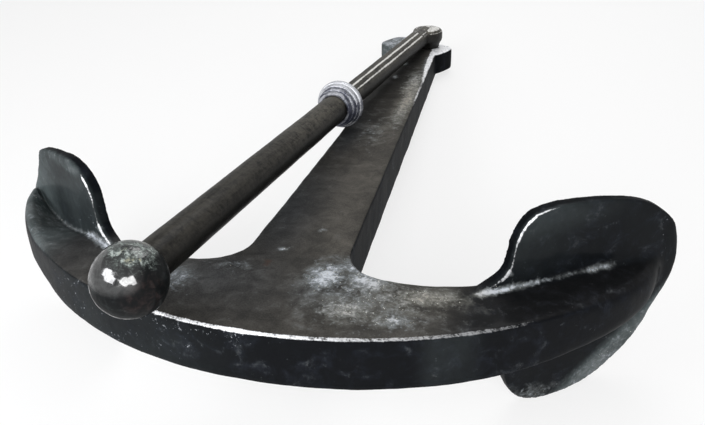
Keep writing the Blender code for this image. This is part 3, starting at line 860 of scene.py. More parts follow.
@dataclass(frozen=True)
class BallPaint:
    """Glossy near-black paint with a broken grey-green crust over the top of the ball."""

    name: str = "crusted_ball_paint"
    paint: Colour = (0.0050, 0.0058, 0.0062)
    paint_light: Colour = (0.013, 0.0155, 0.016)
    crust: Colour = (0.36, 0.40, 0.38)
    crust_dull: Colour = (0.075, 0.088, 0.082)
    crust_yellow: Colour = (0.30, 0.27, 0.15)
    red: Colour = (0.040, 0.014, 0.011)

    def build(self) -> bpy.types.Material:
        """Make the material.

        Returns:
            The material.
        """
        graph = ShaderGraph(self.name)
        broad = graph.noise(0.036, 4.0, 0.6, 0.5)
        mottle = graph.noise(0.013, 5.0, 0.66, 0.6)
        fine = graph.noise(0.0035, 3.0, 0.62)
        colour = graph.blend(graph.step(mottle, 0.45, 0.72), self.paint, self.paint_light)
        red = graph.mask("red") * graph.step(mottle, 0.40, 0.64) * 0.22
        colour = graph.blend(red, colour, self.red)
        crust_field = graph.mask("crust").stirred((mottle, 2.4), (fine, 1.2))
        crust = graph.step(crust_field, 0.36, 0.92)
        peak = graph.step(crust_field, 0.70, 1.20)
        light = graph.blend(graph.step(broad, 0.53, 0.60) * 0.7, self.crust, self.crust_yellow)
        crust_colour = graph.blend(peak, self.crust_dull, light)
        facing = graph.node("ShaderNodeLayerWeight", {"Blend": 0.5}).outputs["Facing"]
        rim = graph.step(Value(graph, facing), 0.72, 0.94) * 0.75
        gloss = graph.mask("gloss") * (graph.step(mottle, 0.34, 0.54) * 0.3 + 0.7)
        return graph.finished(
            {
                "Base Color": graph.blend(crust * 0.9, colour, crust_colour),
                "Roughness": 0.45 + mottle * 0.14 + crust * 0.3,
                "Specular IOR Level": 0.03,
                "Coat Weight": gloss.most(rim) * (1.0 - crust * 0.75),
                "Coat Roughness": 0.13,
                "Coat IOR": 1.95,
                "Normal": graph.bump(mottle * 0.3 + fine * 0.15 + crust * 0.5, 0.9 * MILLIMETRE),
            }
        )


@dataclass(frozen=True)
class CrustGrain:
    """Dry pale salt and lime."""

    name: str = "pale_crust_grain"
    pale: Colour = (0.50, 0.50, 0.47)
    dim: Colour = (0.22, 0.21, 0.18)

    def build(self) -> bpy.types.Material:
        """Make the material.

        Returns:
            The material.
        """
        graph = ShaderGraph(self.name)
        tone = graph.noise(0.010)
        colour = graph.blend(graph.step(tone, 0.38, 0.62), self.dim, self.pale)
        sockets = {"Base Color": colour, "Roughness": 0.7 + tone * 0.2, "Specular IOR Level": 0.2}
        return graph.finished(sockets)


# ---- Sub-assemblies ----------------------------------------------------------------------


@dataclass
class Skin:
    """A frame node worked up as old iron: its fine mesh, its masks and its finish."""

    node: str
    body: str
    slot: str
    spacing: float
    forging: Forging
    least_turn: float = 25.0
    edge_reach: float = 0.006
    hollow_reach: float = 0.018
    most_triangles: int = 190_000
    first_rounds: int = 0
    last_rounds: int = 0
    piece: bpy.types.Object = field(init=False)

    def remesh(self, frame: Frame) -> None:
        """Make the fine even mesh and rate it against the node's ridges and hollows.

        Args:
            frame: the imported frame.
        """
        merged = merged_mesh(frame["nodes"][self.node])
        step = 0.5 * self.spacing
        ridges = edge_points(merged, Edge.RIDGE, self.least_turn, step)
        hollows = edge_points(merged, Edge.HOLLOW, self.least_turn, step)
        self.piece = object_of(merged, f"worn_{self.node}")
        voxels = self.piece.modifiers.new("voxels", "REMESH")
        voxels.mode = "VOXEL"
        voxels.voxel_size = self.spacing
        settled(self.piece)
        soften(self.piece, np.ones(len(self.piece.data.vertices)), self.first_rounds)
        points = points_of(self.piece)
        store(self.piece, "edge", nearness(points, ridges, self.edge_reach))
        store(self.piece, "hollow", nearness(points, hollows, self.hollow_reach))

    def keep(self, **masks: np.ndarray) -> None:
        """Store masks with the mesh.

        Args:
            **masks: numbers from 0 up by name; crust and calm are 0 unless given.
        """
        nothing = np.zeros(len(self.piece.data.vertices))
        for name, values in ({"crust": nothing, "calm": nothing} | masks).items():
            store(self.piece, name, values)

    def dress(self, finish: bpy.types.Material) -> bpy.types.Object:
        """Forge the surface, give it its finish and set it in the frame.

        Args:
            finish: the material.

        Returns:
            The piece.
        """
        self.forging.work(self.piece)
        slim(self.piece, self.most_triangles)
        free = 1.0 - np.maximum(stored(self.piece, "edge"), stored(self.piece, "calm"))
        soften(self.piece, free, self.last_rounds)
        mesh = self.piece.data
        mesh.materials.clear()
        mesh.materials.append(finish)
        mesh.polygons.foreach_set("use_smooth", [True] * len(mesh.polygons))
        mesh.update()
        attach(self.piece, self.body)
        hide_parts(self.node)
        return self.piece


@dataclass(frozen=True)
class Blotch:
    """A soft oval patch on the crown, arms or shank, in the anchor's axes."""

    across: float
    along: float
    half_across: float
    half_along: float
    weight: float
    turn: float = 0.0

    def rate(self, places: np.ndarray) -> np.ndarray:
        """Rate how far inside the patch places lie.

        Args:
            places: the places, one a row.

        Returns:
            The patch's weight at its middle, falling off as a bell curve.
        """
        offset = places[:, :2] - np.array((self.across, self.along))
        c, s = math.cos(math.radians(self.turn)), math.sin(math.radians(self.turn))
        x = (offset[:, 0] * c + offset[:, 1] * s) / self.half_across
        y = (offset[:, 1] * c - offset[:, 0] * s) / self.half_along
        return self.weight * np.exp(-(x * x + y * y))


@dataclass(frozen=True)
class Palm:
    """A palm: where its back face stands and how its rim and its crease look."""

    side: int
    rim_reach: tuple[float, float]
    # The rim's rubbed metal is partly wear and partly painted highlight; rim_light sets how bright
    # that highlight is.
    rim_wear_and_highlight: Triple
    rim_light: tuple[float, float]
    crease: tuple[float, ...]
    crust: tuple[float, ...]
    gloss: float
    root_across: float = 0.360
    root_along: float = 0.197
    angle: float = math.radians(34.7)
    corner_height: float = 0.168

    def read(self, places: np.ndarray) -> tuple[np.ndarray, np.ndarray]:
        """Measure how places lie against the palm.

        Args:
            places: the places, one a row.

        Returns:
            How far along the palm they lie, and how far out of its back face.
        """
        x = self.side * places[:, 0] - self.root_across
        y = places[:, 1] - self.root_along
        c, s = math.cos(self.angle), math.sin(self.angle)
        return x * c + y * s, x * s - y * c


RIGHT_PALM = Palm(
    side=1,
    rim_reach=(0.17, 0.08),
    rim_wear_and_highlight=(0.90, 0.12, 0.0),
    rim_light=(0.50, 0.50),
    crease=(-0.02, 0.03, 0.07, 0.10, 0.17, 0.20, 0.225, 0.27),
    crust=(1.15, 1.10, 0.82, 0.52, 0.42, 0.86, 0.74, 0.0),
    gloss=0.12,
)
LEFT_PALM = Palm(
    side=-1,
    rim_reach=(0.11, 0.06),
    rim_wear_and_highlight=(0.76, 0.28, 0.24),
    rim_light=(0.85, 0.15),
    crease=(-0.03, 0.07, 0.10, 0.14, 0.25, 0.30),
    crust=(1.1, 1.05, 0.74, 0.58, 0.54, 0.50),
    gloss=0.03,
)


class BodyMap:
    """The body's points in the anchor's axes, which way they face, and their masks so far."""

    def __init__(self, piece: bpy.types.Object, axes: AnchorAxes) -> None:
        """Read the points.

        Args:
            piece: the body, with its edges rated.
            axes: the anchor's axes.
        """
        points = points_of(piece)
        turn = np.array([axes.across, axes.along, axes.square])
        _, forward, self.up = (normals_of(piece) @ turn.T).T
        self.places = axes.read(points)
        x, y, _ = self.places.T
        self.edge, self.hollow = stored(piece, "edge"), stored(piece, "hollow")
        self.top = eased(self.up, 0.50, 0.85)
        self.front = eased(-forward, 0.2, 0.6) * eased(np.abs(self.up), 0.60, 0.35)
        self.shank = eased(y, 0.24, 0.34) * eased(np.abs(x), 0.20, 0.15)
        self.ground = eased(points[:, 2], 0.003, 0.0)
        names = ("worn", "film_and_reflection", "gloss", "crease", "palms", "speck", "scale")
        self.masks = {name: np.zeros(len(points)) for name in names}
        self.masks["painted_light"] = np.ones(len(points))

    def lift(self, name: str, values: np.ndarray) -> None:
        """Raise a mask to values where they are higher."""
        self.masks[name] = np.maximum(self.masks[name], values)

    def rub(self, edge: np.ndarray, strength: np.ndarray, light: np.ndarray) -> None:
        """Wear an edge down to metal by a strength, and give that metal the strength of its
        painted highlight.
        """
        self.lift("worn", edge * strength)
        self.masks["painted_light"] = np.where(edge > 0.0, light, self.masks["painted_light"])

    def blotted(self, blotches: Sequence[Blotch]) -> np.ndarray:
        """Return the strongest of some patches at each point."""
        return np.max([blotch.rate(self.places) for blotch in blotches], axis=0)


@dataclass
class AnchorBody:
    """Arms, palms, crown, shank and head in one forging."""

    frame: Frame
    axes: AnchorAxes
    spacing: float = 0.0024
    forging: Forging = Forging(0.10, 0.0034, 0.032, 0.0016, 0.0016)
    left_rib_swell: float = 0.72
    left_corner_reach: float = 0.016
    left_corner_drop: float = 0.4  # share of the corner's reach
    left_shoulder_drop: float = 0.008
    end_rounds: int = 5
    rib_rounds: int = 160
    face_share: float = 0.4  # of the ribs' smoothing, for the palms' faces
    last_rounds: int = 4
    crown_curve: float = 0.60  # the crown's outer edge runs along this times x squared
    crown_stretch: tuple[float, ...] = (-0.40, -0.30, -0.22, -0.16, 0.02, 0.14, 0.30, 0.42, 0.47)
    # Along the crown's outer edge: how much is rubbed to metal, which is partly painted highlight,
    # and how bright that highlight is.
    crown_wear_and_highlight: tuple[float, ...] = (0.55, 0.60, 0.78, 0.96, 0.96, 0.90, 0.86, 0.78, 0.0)
    crown_light: tuple[float, ...] = (0.30, 0.45, 0.80, 1.0, 1.0, 0.54, 0.26, 0.20, 0.2)
    shank_half_width: float = 0.1067  # of its right half at the crown's outer edge
    shank_taper: float = 0.0371
    crust_blotches: tuple[Blotch, ...] = (
        Blotch(0.074, 0.180, 0.040, 0.050, 1.12),
        Blotch(0.152, 0.182, 0.056, 0.040, 1.06, -22.0),
        Blotch(0.108, 0.225, 0.030, 0.044, 0.80, 60.0),
        Blotch(0.258, 0.156, 0.068, 0.032, 0.98, 10.0),
        Blotch(0.133, 0.092, 0.055, 0.040, 0.90),
        Blotch(0.215, 0.078, 0.055, 0.020, 0.90, 8.0),
        Blotch(0.170, 0.125, 0.130, 0.085, 0.64),
        Blotch(-0.180, 0.121, 0.034, 0.046, 0.74),
        Blotch(-0.105, 0.184, 0.050, 0.022, 0.56),
        Blotch(-0.030, 0.255, 0.012, 0.010, 0.80),
        Blotch(0.018, 0.335, 0.010, 0.010, 0.75),
        Blotch(0.047, 1.440, 0.018, 0.140, 1.00),
        Blotch(0.046, 1.080, 0.024, 0.200, 1.05),
        Blotch(0.036, 1.230, 0.028, 0.150, 0.95),
        Blotch(0.010, 0.850, 0.040, 0.120, 0.45),
        Blotch(-0.029, 1.283, 0.009, 0.017, 1.00),
        Blotch(-0.024, 1.411, 0.009, 0.020, 1.00),
    )
    warm_blotches: tuple[Blotch, ...] = (
        Blotch(0.270, 0.150, 0.110, 0.060, 1.0),
        Blotch(0.140, 0.085, 0.080, 0.040, 0.7),
        Blotch(0.045, 1.100, 0.060, 0.280, 1.0),
        Blotch(0.030, 0.600, 0.050, 0.250, 0.6),
    )
    cool_blotches: tuple[Blotch, ...] = (
        Blotch(-0.070, 0.420, 0.060, 0.240, 1.0, 3.0),
        Blotch(-0.050, 0.820, 0.030, 0.140, 1.0),
        Blotch(0.060, 0.130, 0.060, 0.060, 0.6),
        Blotch(-0.120, 0.140, 0.140, 0.110, 0.9),
        Blotch(-0.450, 0.250, 0.180, 0.200, 0.8),
        Blotch(-0.110, 1.650, 0.060, 0.080, 1.0),
    )
    brown_blotches: tuple[Blotch, ...] = (
        Blotch(0.045, 0.520, 0.060, 0.300, 0.35),
        Blotch(0.030, 1.050, 0.060, 0.300, 0.55),
        Blotch(0.071, 0.280, 0.040, 0.050, 0.40),
        Blotch(-0.170, 0.135, 0.110, 0.080, 0.50),
        Blotch(-0.110, 1.650, 0.060, 0.080, 0.50),
    )
    rust_blotches: tuple[Blotch, ...] = (
        Blotch(-0.043, 0.205, 0.014, 0.035, 0.55),
        Blotch(-0.006, 0.881, 0.010, 0.018, 0.60),
        Blotch(-0.032, 0.730, 0.008, 0.018, 0.50),
        Blotch(-0.020, 0.110, 0.050, 0.030, 0.30),
    )
    # The right lug's top, where a painted highlight goes.
    right_lug_highlight: Blotch = Blotch(0.052, 1.598, 0.018, 0.036, 1.15, -26.6)

    def build(self) -> list[bpy.types.Object]:
        """Make the body and its crust grains.

        Returns:
            The two pieces.
        """
        slot = "painted_iron"
        skin = Skin("anchor_body", "anchor", slot, self.spacing, self.forging)
        skin.last_rounds = self.last_rounds
        skin.remesh(self.frame)
        self.round_arm_ends(skin.piece)
        skin.keep(**self.masks(skin.piece))
        body = skin.dress(WornPaint().build())
        grains = placed("crust_grains_anchor", body.data.copy())
        Grains().work(grains, CrustGrain().build())
        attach(grains, "anchor")
        return [body, grains]

    def round_arm_ends(self, piece: bpy.types.Object) -> None:
        """Shape the left rib's end and palm, and work both ribs smoothly into the palms.

        Args:
            piece: the body, with its edges rated.
        """
        points = points_of(piece)
        places = self.axes.read(points)
        along, out = LEFT_PALM.read(places)
        z = places[:, 2]
        upper = eased(z, 0.12, 0.17) * eased(-places[:, 0], 0.30, 0.34)
        swell = eased(-places[:, 0], 0.53, 0.62) * eased(out, -0.003, 0.008)
        rise = swell * z * eased(z, 0.16, 0.05) * self.left_rib_swell
        corner = upper * eased(along, 0.19, 0.26) * self.left_corner_reach
        shoulder = upper * peaked(along, 0.065, 0.05)
        rise -= corner * self.left_corner_drop + shoulder * self.left_shoulder_drop
        c, s = math.cos(LEFT_PALM.angle), math.sin(LEFT_PALM.angle)
        outward = s * np.array(self.axes.along) - c * np.array(self.axes.across)
        points += rise[:, None] * np.array(self.axes.square) + corner[:, None] * outward
        piece.data.vertices.foreach_set("co", points.astype(np.float32).ravel())
        soften(piece, np.ones(len(points)), self.end_rounds)

        places = self.axes.read(points_of(piece))
        flat = (1.0 - stored(piece, "edge")) * (1.0 - stored(piece, "hollow")) * self.face_share
        weights = np.zeros(len(points))
        for palm in (RIGHT_PALM, LEFT_PALM):
            along, out = palm.read(places)
            near = eased(np.abs(places[:, 2]), 0.105, 0.070) * eased(out, -0.010, -0.002)
            face = flat * eased(palm.side * places[:, 0], 0.33, 0.38)
            weights = np.max([weights, eased(along, 0.04, 0.24) * near, face], axis=0)
        soften(piece, weights, self.rib_rounds)

    def masks(self, piece: bpy.types.Object) -> dict[str, np.ndarray]:
        """Rate the body's points for each of its finish's effects.

        Args:
            piece: the body, with its edges rated.

        Returns:
            The masks by name.
        """
        body = BodyMap(piece, self.axes)
        for palm in (RIGHT_PALM, LEFT_PALM):
            self.mark_palm(body, palm)
        self.mark_arms(body)
        self.mark_shank(body)
        x, y, _ = body.places.T
        crease, palms, scale = (body.masks.pop(name) for name in ("crease", "palms", "scale"))
        bare = 1.0 - palms
        dust = body.top * bare * (0.62 + body.blotted(self.brown_blotches))
        right_end, left_end = eased(x, 0.35, 0.25), eased(x, -0.66, -0.40)
        dust *= np.where(x > 0.0, right_end * 0.88 + 0.12, left_end * 0.2 + 0.8)
        # Painted shadow: the dust is thinned on the left of the shank's upper part, under the
        # stock's bar, so the dark paint stands in for the bar's shadow.
        dust *= 1.0 - 0.55 * body.shank * eased(x, 0.034, 0.004) * eased(y, 0.72, 1.02)
        crust = body.blotted(self.crust_blotches) * body.top
        from_eye = np.linalg.norm(body.places[:, :2] - np.array(EYE), axis=1)
        return body.masks | {
            "dust": np.clip(dust, 0.0, 1.0),
            "cool": np.clip(body.blotted(self.cool_blotches), 0.0, 1.0),
            "warm": np.clip(body.blotted(self.warm_blotches) * bare, 0.0, 1.0),
            "rust": body.blotted(self.rust_blotches) * body.top,
            "crust": np.max([crust, crease * 1.25, scale], axis=0),
            "calm": np.maximum(eased(from_eye, 0.065, 0.045), body.ground),
        }

    def mark_palm(self, body: BodyMap, palm: Palm) -> None:
        """Rub a palm's rim to metal, partly wear and partly painted highlight, lay a film on its
        back, partly painted reflection and sheen, and crust in the crease along its rib.

        Args:
            body: the body's points and masks.
            palm: the palm.
        """
        z = body.places[:, 2]
        along, out = palm.read(body.places)
        here = eased(palm.side * body.places[:, 0], 0.30, 0.33)
        back = here * eased(out, 0.014, 0.006) * eased(out, -0.012, -0.004)
        body.lift("palms", here * eased(along, -0.02, 0.02) * eased(out, 0.016, 0.004))
        body.lift("gloss", back * palm.gloss)

        # The rim's rubbed metal is partly wear and partly painted highlight, brighter towards the
        # rim's top corner.
        rim = back * body.edge * eased(along, *palm.rim_reach) * eased(z, 0.045, 0.060)
        corner = peaked(z, palm.corner_height, 0.030)
        metal_strength, by_corner, by_rib = palm.rim_wear_and_highlight
        strength = metal_strength + by_corner * corner + by_rib * eased(z, 0.100, 0.075)
        light, light_by_corner = palm.rim_light
        body.rub(rim, strength, light + light_by_corner * corner)

        # The crust in the crease ends at this height above the arms' plane.
        ceiling = np.where(along < 0.08, 0.076, 0.115)
        behind = here * eased(out, -0.012, -0.004) * eased(z, -0.03, -0.01)
        behind *= eased(z - ceiling, 0.008, -0.002)
        narrow = np.clip(1.5 * body.hollow - 0.5, 0.0, 1.0)
        if palm is RIGHT_PALM:
            middle = eased(along, 0.05, 0.08) * eased(along, 0.19, 0.16)
            wide = 0.5 * (narrow + body.hollow) * (1.0 - middle) + narrow * middle
            # Distance past a slanting line across the palm's lower tip.
            chord = (along - 0.345) * 0.656 - (z + 0.064) * 0.755
            # Painted reflection: the palm's lower tip faces down towards the floor, and a pale
            # film and crust stand in for that floor's reflection.
            band = back * eased(chord, -0.022, 0.012) * eased(z, 0.07, -0.01)
            cloudy = 0.03 + 0.10 * eased(along, 0.20, 0.04) * eased(z, 0.03, 0.08)
            # Painted sheen: more film along the palm's top edge.
            cloudy += 0.16 * eased(z, 0.12, 0.17) * eased(along, 0.30, 0.12)
            foot = eased(z, -0.165, -0.205) * eased(along, 0.01, 0.05)
            body.lift("film_and_reflection", np.maximum(band, back * cloudy))
            body.lift("scale", band * 0.54)
            body.lift("scale", back * 0.50 * foot * eased(along, 0.18, 0.12))
            body.lift("speck", back * 0.32 * eased(along, 0.31, 0.36) * eased(z, 0.0, 0.05))
        else:
            wide = np.where(along < 0.09, body.hollow, narrow)
            tip = back * eased(z, 0.140, 0.172) * eased(along, 0.05, 0.12)
            body.lift("film_and_reflection", back * (0.30 + 0.55 * eased(along, 0.19, 0.28)))
            body.lift("film_and_reflection", tip * 0.75)
            body.lift("scale", tip * 0.30)
        body.lift("crease", behind * wide * np.interp(along, palm.crease, palm.crust))

    def mark_arms(self, body: BodyMap) -> None:
        """Rub the crown's outer edge to metal, partly wear and partly painted highlight, and film
        and speck the arms' walls and ends.

        Args:
            body: the body's points and masks, with its palms marked.
        """
        x, y, z = body.places.T
        bare, front = 1.0 - body.masks["palms"], body.front
        outer = eased(np.abs(y - self.crown_curve * x * x), 0.040, 0.025)
        metal_strength = np.interp(x, self.crown_stretch, self.crown_wear_and_highlight)
        light = np.interp(x, self.crown_stretch, self.crown_light)
        # The crown's rubbed edge is partly wear and partly painted highlight, brightest across the
        # crown's middle.
        body.rub(body.edge * outer * eased(z, 0.02, 0.03), metal_strength, light)

        bill = eased(body.up, 0.25, 0.55) * eased(-x, 0.42, 0.53) * bare
        body.lift("film_and_reflection", bill * 0.82)
        body.lift("scale", bill * 0.36)
        outer_left = front * eased(x, 0.05, -0.22) * eased(x, -0.52, -0.40)
        body.lift("film_and_reflection", outer_left * 0.10)
        body.lift("speck", outer_left * 0.34)
        body.lift("film_and_reflection", front * 0.11 * eased(np.abs(x - 0.31), 0.06, 0.02))
        under_edge = front * eased(x, 0.06, -0.05) * eased(x, -0.42, -0.32)
        body.lift("speck", under_edge * 0.50 * eased(z, 0.005, 0.035))
        body.lift("gloss", front * 0.10 * (1.0 - body.shank))
        body.lift("gloss", body.top * bare * 0.08)
        body.lift("gloss", bare * eased(np.abs(x), 0.42, 0.54) * eased(body.up, -0.6, -0.1) * 0.10)

    def mark_shank(self, body: BodyMap) -> None:
        """Rub the shank's edges to metal, partly wear and partly painted highlight, paint
        highlights along its right edge and on the right lug's top, and lay a film on the left lug
        as painted reflection.

        Args:
            body: the body's points and masks.
        """
        x, y, z = body.places.T
        # Rubbed metal on the upper shank's edges: wear, and on the right edge painted highlight as
        # well.
        edge = body.edge * body.shank * eased(z, 0.02, 0.03) * eased(y, 0.90, 1.15)
        body.lift("worn", edge * np.where(x > 0.0, 0.85, 0.5))
        # Painted highlight: a metal strip along the top of the shank's right edge, wider towards
        # the head.
        right_edge = self.shank_half_width - self.shank_taper * y
        width = 0.012 + 0.012 * eased(y, 1.10, 1.50)
        band = body.top * eased(right_edge - x, width, width - 0.012) * eased(y, 0.95, 1.50)
        body.lift("worn", band * eased(x, 0.0, 0.02) * 1.02)
        # Painted highlight: bright metal on the right lug's top.
        body.lift("worn", self.right_lug_highlight.rate(body.places) * body.top)
        lug_edge = body.edge * eased(y, 1.50, 1.54) * eased(body.up, -0.2, 0.2)
        body.lift("worn", lug_edge * eased(np.abs(x - 0.03), 0.05, 0.03) * 0.95)
        # Painted reflection: a grey film with some crust on the left lug stands in for the pale
        # surroundings mirrored in its top.
        left_lug_reflection = eased(y, 1.57, 1.60) * eased(x, -0.05, -0.08) * eased(body.up, -0.6, -0.2)
        body.lift("film_and_reflection", left_lug_reflection)
        body.lift("scale", left_lug_reflection * (0.54 + 0.36 * body.top))


@dataclass
class Stock:
    """The folding stock: its bar with knob and leg, its turned collar and its ball."""

    frame: Frame
    bar_spacing: float = 0.0026
    bar_forging: Forging = Forging(0.07, 0.0016, 0.018, 0.0006)
    # Painted highlight lines along the bar: their turn about it in degrees and their strength.
    highlight_bands: tuple[tuple[float, float], ...] = ((82.0, 1.0), (53.0, 0.88))
    band_width: float = 7.0
    collar_spacing: float = 0.0014
    collar_forging: Forging = Forging(0.02, 0.0006, 0.010, 0.0013)
    ball_spacing: float = 0.0018
    ball_forging: Forging = Forging(0.045, 0.0018, 0.014, 0.0007, 0.0012)
    ball_crown: Triple = (0.24, 0.20, 1.0)
    ball_red_side: Triple = (0.75, -0.60, 0.10)
    collar_centre: Vector = field(init=False)
    ball_centre: Vector = field(init=False)
    line: Vector = field(init=False)

    def __post_init__(self) -> None:
        """Find the middles of the collar and the ball, and the line from one to the other."""
        boxes = map(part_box, ("stock_collar", "outer_ball"))
        self.collar_centre, self.ball_centre = (0.5 * (low + high) for low, high in boxes)
        self.line = (self.ball_centre - self.collar_centre).normalized()

    def build(self) -> list[bpy.types.Object]:
        """Make the bar, the collar and the ball."""
        return [self.bar(), self.collar(), self.ball()]

    def bar(self) -> bpy.types.Object:
        """Make the bar.

        Returns:
            The piece.
        """
        sizes = (self.bar_spacing, self.bar_forging, 18.0, 0.004, 0.006)
        skin = Skin("stock_bar", "stock", "bar_iron", *sizes, first_rounds=1)
        skin.remesh(self.frame)
        points, facing_up = points_of(skin.piece), normals_of(skin.piece)[:, 2]
        offset = points - np.array(self.collar_centre)
        beyond = offset @ np.array(self.line)
        upper = eased(beyond, -0.03, -0.08)
        beside = UPWARD.cross(self.line).normalized()
        above = self.line.cross(beside)
        turns = np.degrees(np.arctan2(offset @ np.array(above), offset @ np.array(beside)))
        knob = eased(points[:, 1], 0.70, 0.72)
        edge = stored(skin.piece, "edge")
        # Painted highlight lines at set turns about the bar beyond the collar, shown as bright
        # metal.
        worn = [
            upper * (1.0 - knob) * share * peaked(turns, middle, self.band_width)
            for middle, share in self.highlight_bands
        ]
        worn.append(knob * edge * eased(facing_up, 0.1, 0.6) * eased(facing_up, 0.8, 0.6))
        # Painted highlight: the knob's top shown as bright metal.
        worn.append(knob * eased(facing_up, 0.86, 0.95) * (1.0 - edge) * 0.74)
        # Painted light on the bar's upward faces, strongest near the collar and the knob.
        by_collar = 0.44 * eased(beyond, 0.50, 0.06) * (1.0 - 0.3 * upper)
        by_knob = 0.30 * eased(-beyond, 0.45, 0.70)
        skin.keep(
            skyward=eased(facing_up, 0.05, 0.85) * (0.28 + by_collar + by_knob),
            worn=np.max(worn, axis=0),
            gloss=0.10 + 0.20 * knob,
            calm=eased(points[:, 2], 0.15, 0.12) * eased(points[:, 1], 0.60, 0.65),
        )
        turn = self.line.rotation_difference(UPWARD).to_euler()
        return skin.dress(BareBarIron(tuple(turn)).build())

    def collar(self) -> bpy.types.Object:
        """Make the collar.

        Returns:
            The piece.
        """
        sizes = (self.collar_spacing, self.collar_forging, 20.0, 0.0022, 0.004)
        skin = Skin("stock_collar", "stock", "bare_steel", *sizes)
        skin.remesh(self.frame)
        points, normals = points_of(skin.piece), normals_of(skin.piece)
        beyond = (points - np.array(self.collar_centre)) @ np.array(self.line)
        flange = eased(beyond, 0.006, -0.006)
        # Painted light and shade for the collar: the flange lighter, faces turned right and down
        # darker.
        aside = eased(normals[:, 0] * 0.7 - normals[:, 2] * 0.7, -0.2, 0.6)
        skin.keep(shine=(0.42 + 0.62 * flange) * (1.0 - 0.70 * aside))
        return skin.dress(TurnedSteel().build())

    def ball(self) -> bpy.types.Object:
        """Make the ball.

        Returns:
            The piece.
        """
        skin = Skin("outer_ball", "stock", "ball_iron", self.ball_spacing, self.ball_forging)
        skin.remesh(self.frame)
        outward = points_of(skin.piece) - np.array(self.ball_centre)
        outward /= np.linalg.norm(outward, axis=1)[:, None]
        crown, red_side = (
            np.array(Vector(side).normalized()) for side in (self.ball_crown, self.ball_red_side)
        )
        lamp_side = eased(outward[:, 2], 0.22, 0.46) * eased(outward[:, 0], 0.78, 0.50)
        skin.keep(
            crust=0.74 * eased(outward @ crown, 0.55, 0.92),
            red=eased(outward @ red_side, 0.72, 0.95),
            gloss=0.06 + 0.94 * lamp_side,
        )
        return skin.dress(BallPaint().build())


# ---- Studio ------------------------------------------------------------------------------


@dataclass(frozen=True)
class SoftLamp:
    """An oblong lamp that points at the anchor."""

    name: str
    place: Triple
    width: float
    height: float
    glow: float
    tint: Colour = WHITE
    aim: Triple = (-0.1, -0.5, 0.15)

    def build(self) -> bpy.types.Object:
        """Hang the lamp.

        Returns:
            The lamp.
        """
        light = bpy.data.lights.new(self.name, "AREA")
        light.shape = "RECTANGLE"
        light.size = self.width
        light.size_y = self.height
        light.energy = self.glow * math.pi * self.width * self.height
        light.color = self.tint
        lamp = placed(self.name, light)
        lamp.location = self.place
        facing = Vector(self.aim) - Vector(self.place)
        lamp.rotation_euler = facing.to_track_quat("-Z", "Y").to_euler()
        return lamp


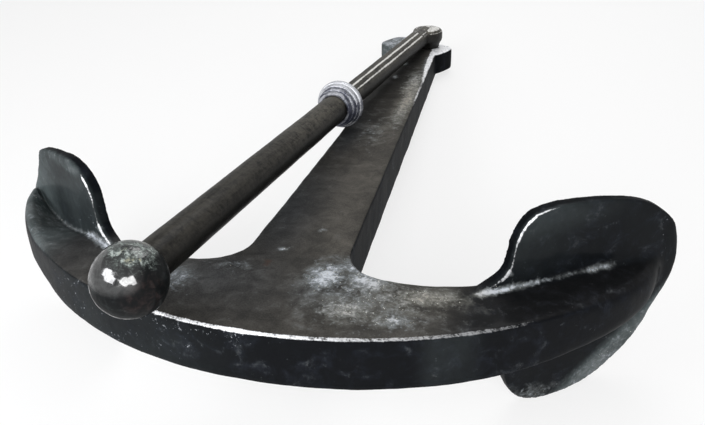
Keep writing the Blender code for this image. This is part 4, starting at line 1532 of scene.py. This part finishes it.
@dataclass(frozen=True)
class Studio:
    """A pale floor under soft light."""

    floor_radius: float = 24.0
    sweep_radius: float = 6.0
    wall_height: float = 14.0
    floor_colour: Colour = (0.95, 0.95, 0.95)
    sky: float = 0.46
    white: float = 0.96
    white_share: float = 0.76
    lamps: tuple[SoftLamp, ...] = (
        SoftLamp("window_left", (-1.50, -2.12, 1.78), 1.8, 0.8, 10.0, (0.97, 0.98, 1.0)),
        SoftLamp("window_front", (0.74, -2.51, 1.67), 1.9, 0.7, 9.5),
        SoftLamp("overhead", (0.2, 1.6, 2.6), 1.8, 1.8, 3.2),
    )

    def floor_mesh(self) -> bmesh.types.BMesh:
        """Make the floor: a disc whose border sweeps up into a wall.

        Returns:
            The mesh.
        """
        mesh = bmesh.new()
        steps, sides = 10, 96
        profile = [(self.floor_radius, 0.0)]
        for step in range(1, steps + 1):
            turn = 0.5 * math.pi * step / steps
            out, up = math.sin(turn), 1.0 - math.cos(turn)
            profile.append((self.floor_radius + self.sweep_radius * out, self.sweep_radius * up))
        profile.append((profile[-1][0], self.wall_height))
        turns = [2.0 * math.pi * side / sides for side in range(sides)]
        rings = [
            [mesh.verts.new((radius * math.cos(t), radius * math.sin(t), height)) for t in turns]
            for radius, height in profile
        ]
        mesh.faces.new(rings[0])
        for low, high in zip(rings, rings[1:]):
            for side in range(sides):
                after = (side + 1) % sides
                mesh.faces.new((low[side], high[side], high[after], low[after])).smooth = True
        return mesh

    def floor_material(self) -> bpy.types.Material:
        """Make the floor's matt white, which the camera and reflections see brighter.

        Returns:
            The material.
        """
        graph = ShaderGraph("pale_floor")
        rays = graph.node("ShaderNodeLightPath").outputs
        seen = Value(graph, rays["Is Camera Ray"])
        for kind in ("Is Glossy Ray", "Is Transmission Ray"):
            seen = seen.most(Value(graph, rays[kind]))
        glow = graph.node("ShaderNodeEmission", {"Strength": self.white}).outputs[0]
        sockets = {0: seen * self.white_share, 1: graph.shader.outputs[0], 2: glow}
        mixed = graph.node("ShaderNodeMixShader", sockets).outputs[0]
        graph.fill(graph.tree.nodes["Material Output"].inputs, {"Surface": mixed})
        sockets = {"Base Color": self.floor_colour, "Roughness": 0.9, "Specular IOR Level": 0.05}
        return graph.finished(sockets)

    def build(self) -> None:
        """Lay the floor, light the scene and set the plain view transform."""
        floor = object_of(self.floor_mesh(), "studio_floor")
        floor.data.materials.append(self.floor_material())
        for lamp in self.lamps:
            lamp.build()
        world = bpy.data.worlds.new("studio_sky")
        world.use_nodes = True
        background = {"Color": WHITE, "Strength": self.sky}
        Graph(world.node_tree).fill(world.node_tree.nodes["Background"].inputs, background)
        scene = bpy.context.scene
        scene.world = world
        scene.view_settings.view_transform = "Standard"


@dataclass(frozen=True)
class Viewpoint:
    """Where the camera stands, in the anchor's own axes, and how it is turned."""

    place: Triple = (0.42592, -0.93632, 0.80704)
    yaw: float = 0.2629
    pitch: float = -0.4933
    roll: float = -0.0273
    lens: float = 40.476
    sensor: float = 36.0

    def build(self, axes: AnchorAxes) -> bpy.types.Object:
        """Set up the camera.

        Args:
            axes: the anchor's axes.

        Returns:
            The camera.
        """
        level = Vector((math.cos(self.yaw), math.sin(self.yaw), 0.0))
        ahead = UPWARD.cross(level)
        forward = ahead * math.cos(self.pitch) + UPWARD * math.sin(self.pitch)
        upright = level.cross(forward)
        c, s = math.cos(self.roll), math.sin(self.roll)
        right = level * c + upright * s
        up = upright * c - level * s
        turn = Matrix((right, up, -forward)).transposed().to_4x4()
        lens = bpy.data.cameras.new("camera")
        lens.sensor_width = self.sensor
        lens.lens = self.lens
        camera = placed("camera", lens)
        camera.matrix_world = axes.matrix() @ Matrix.Translation(self.place) @ turn
        bpy.context.scene.camera = camera
        return camera


def main() -> None:
    """Build the anchor's looks, the studio and the camera, and log each piece's face count."""
    logging.basicConfig(level=logging.INFO, format="%(message)s")
    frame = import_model()
    axes = AnchorAxes.from_swivel(frame["joints"][0], EYE)
    Viewpoint().build(axes)
    Studio().build()
    for piece in AnchorBody(frame, axes).build() + Stock(frame).build():
        LOG.info("%s: %d faces", piece.name, len(piece.data.polygons))


if __name__ == "__main__":
    main()
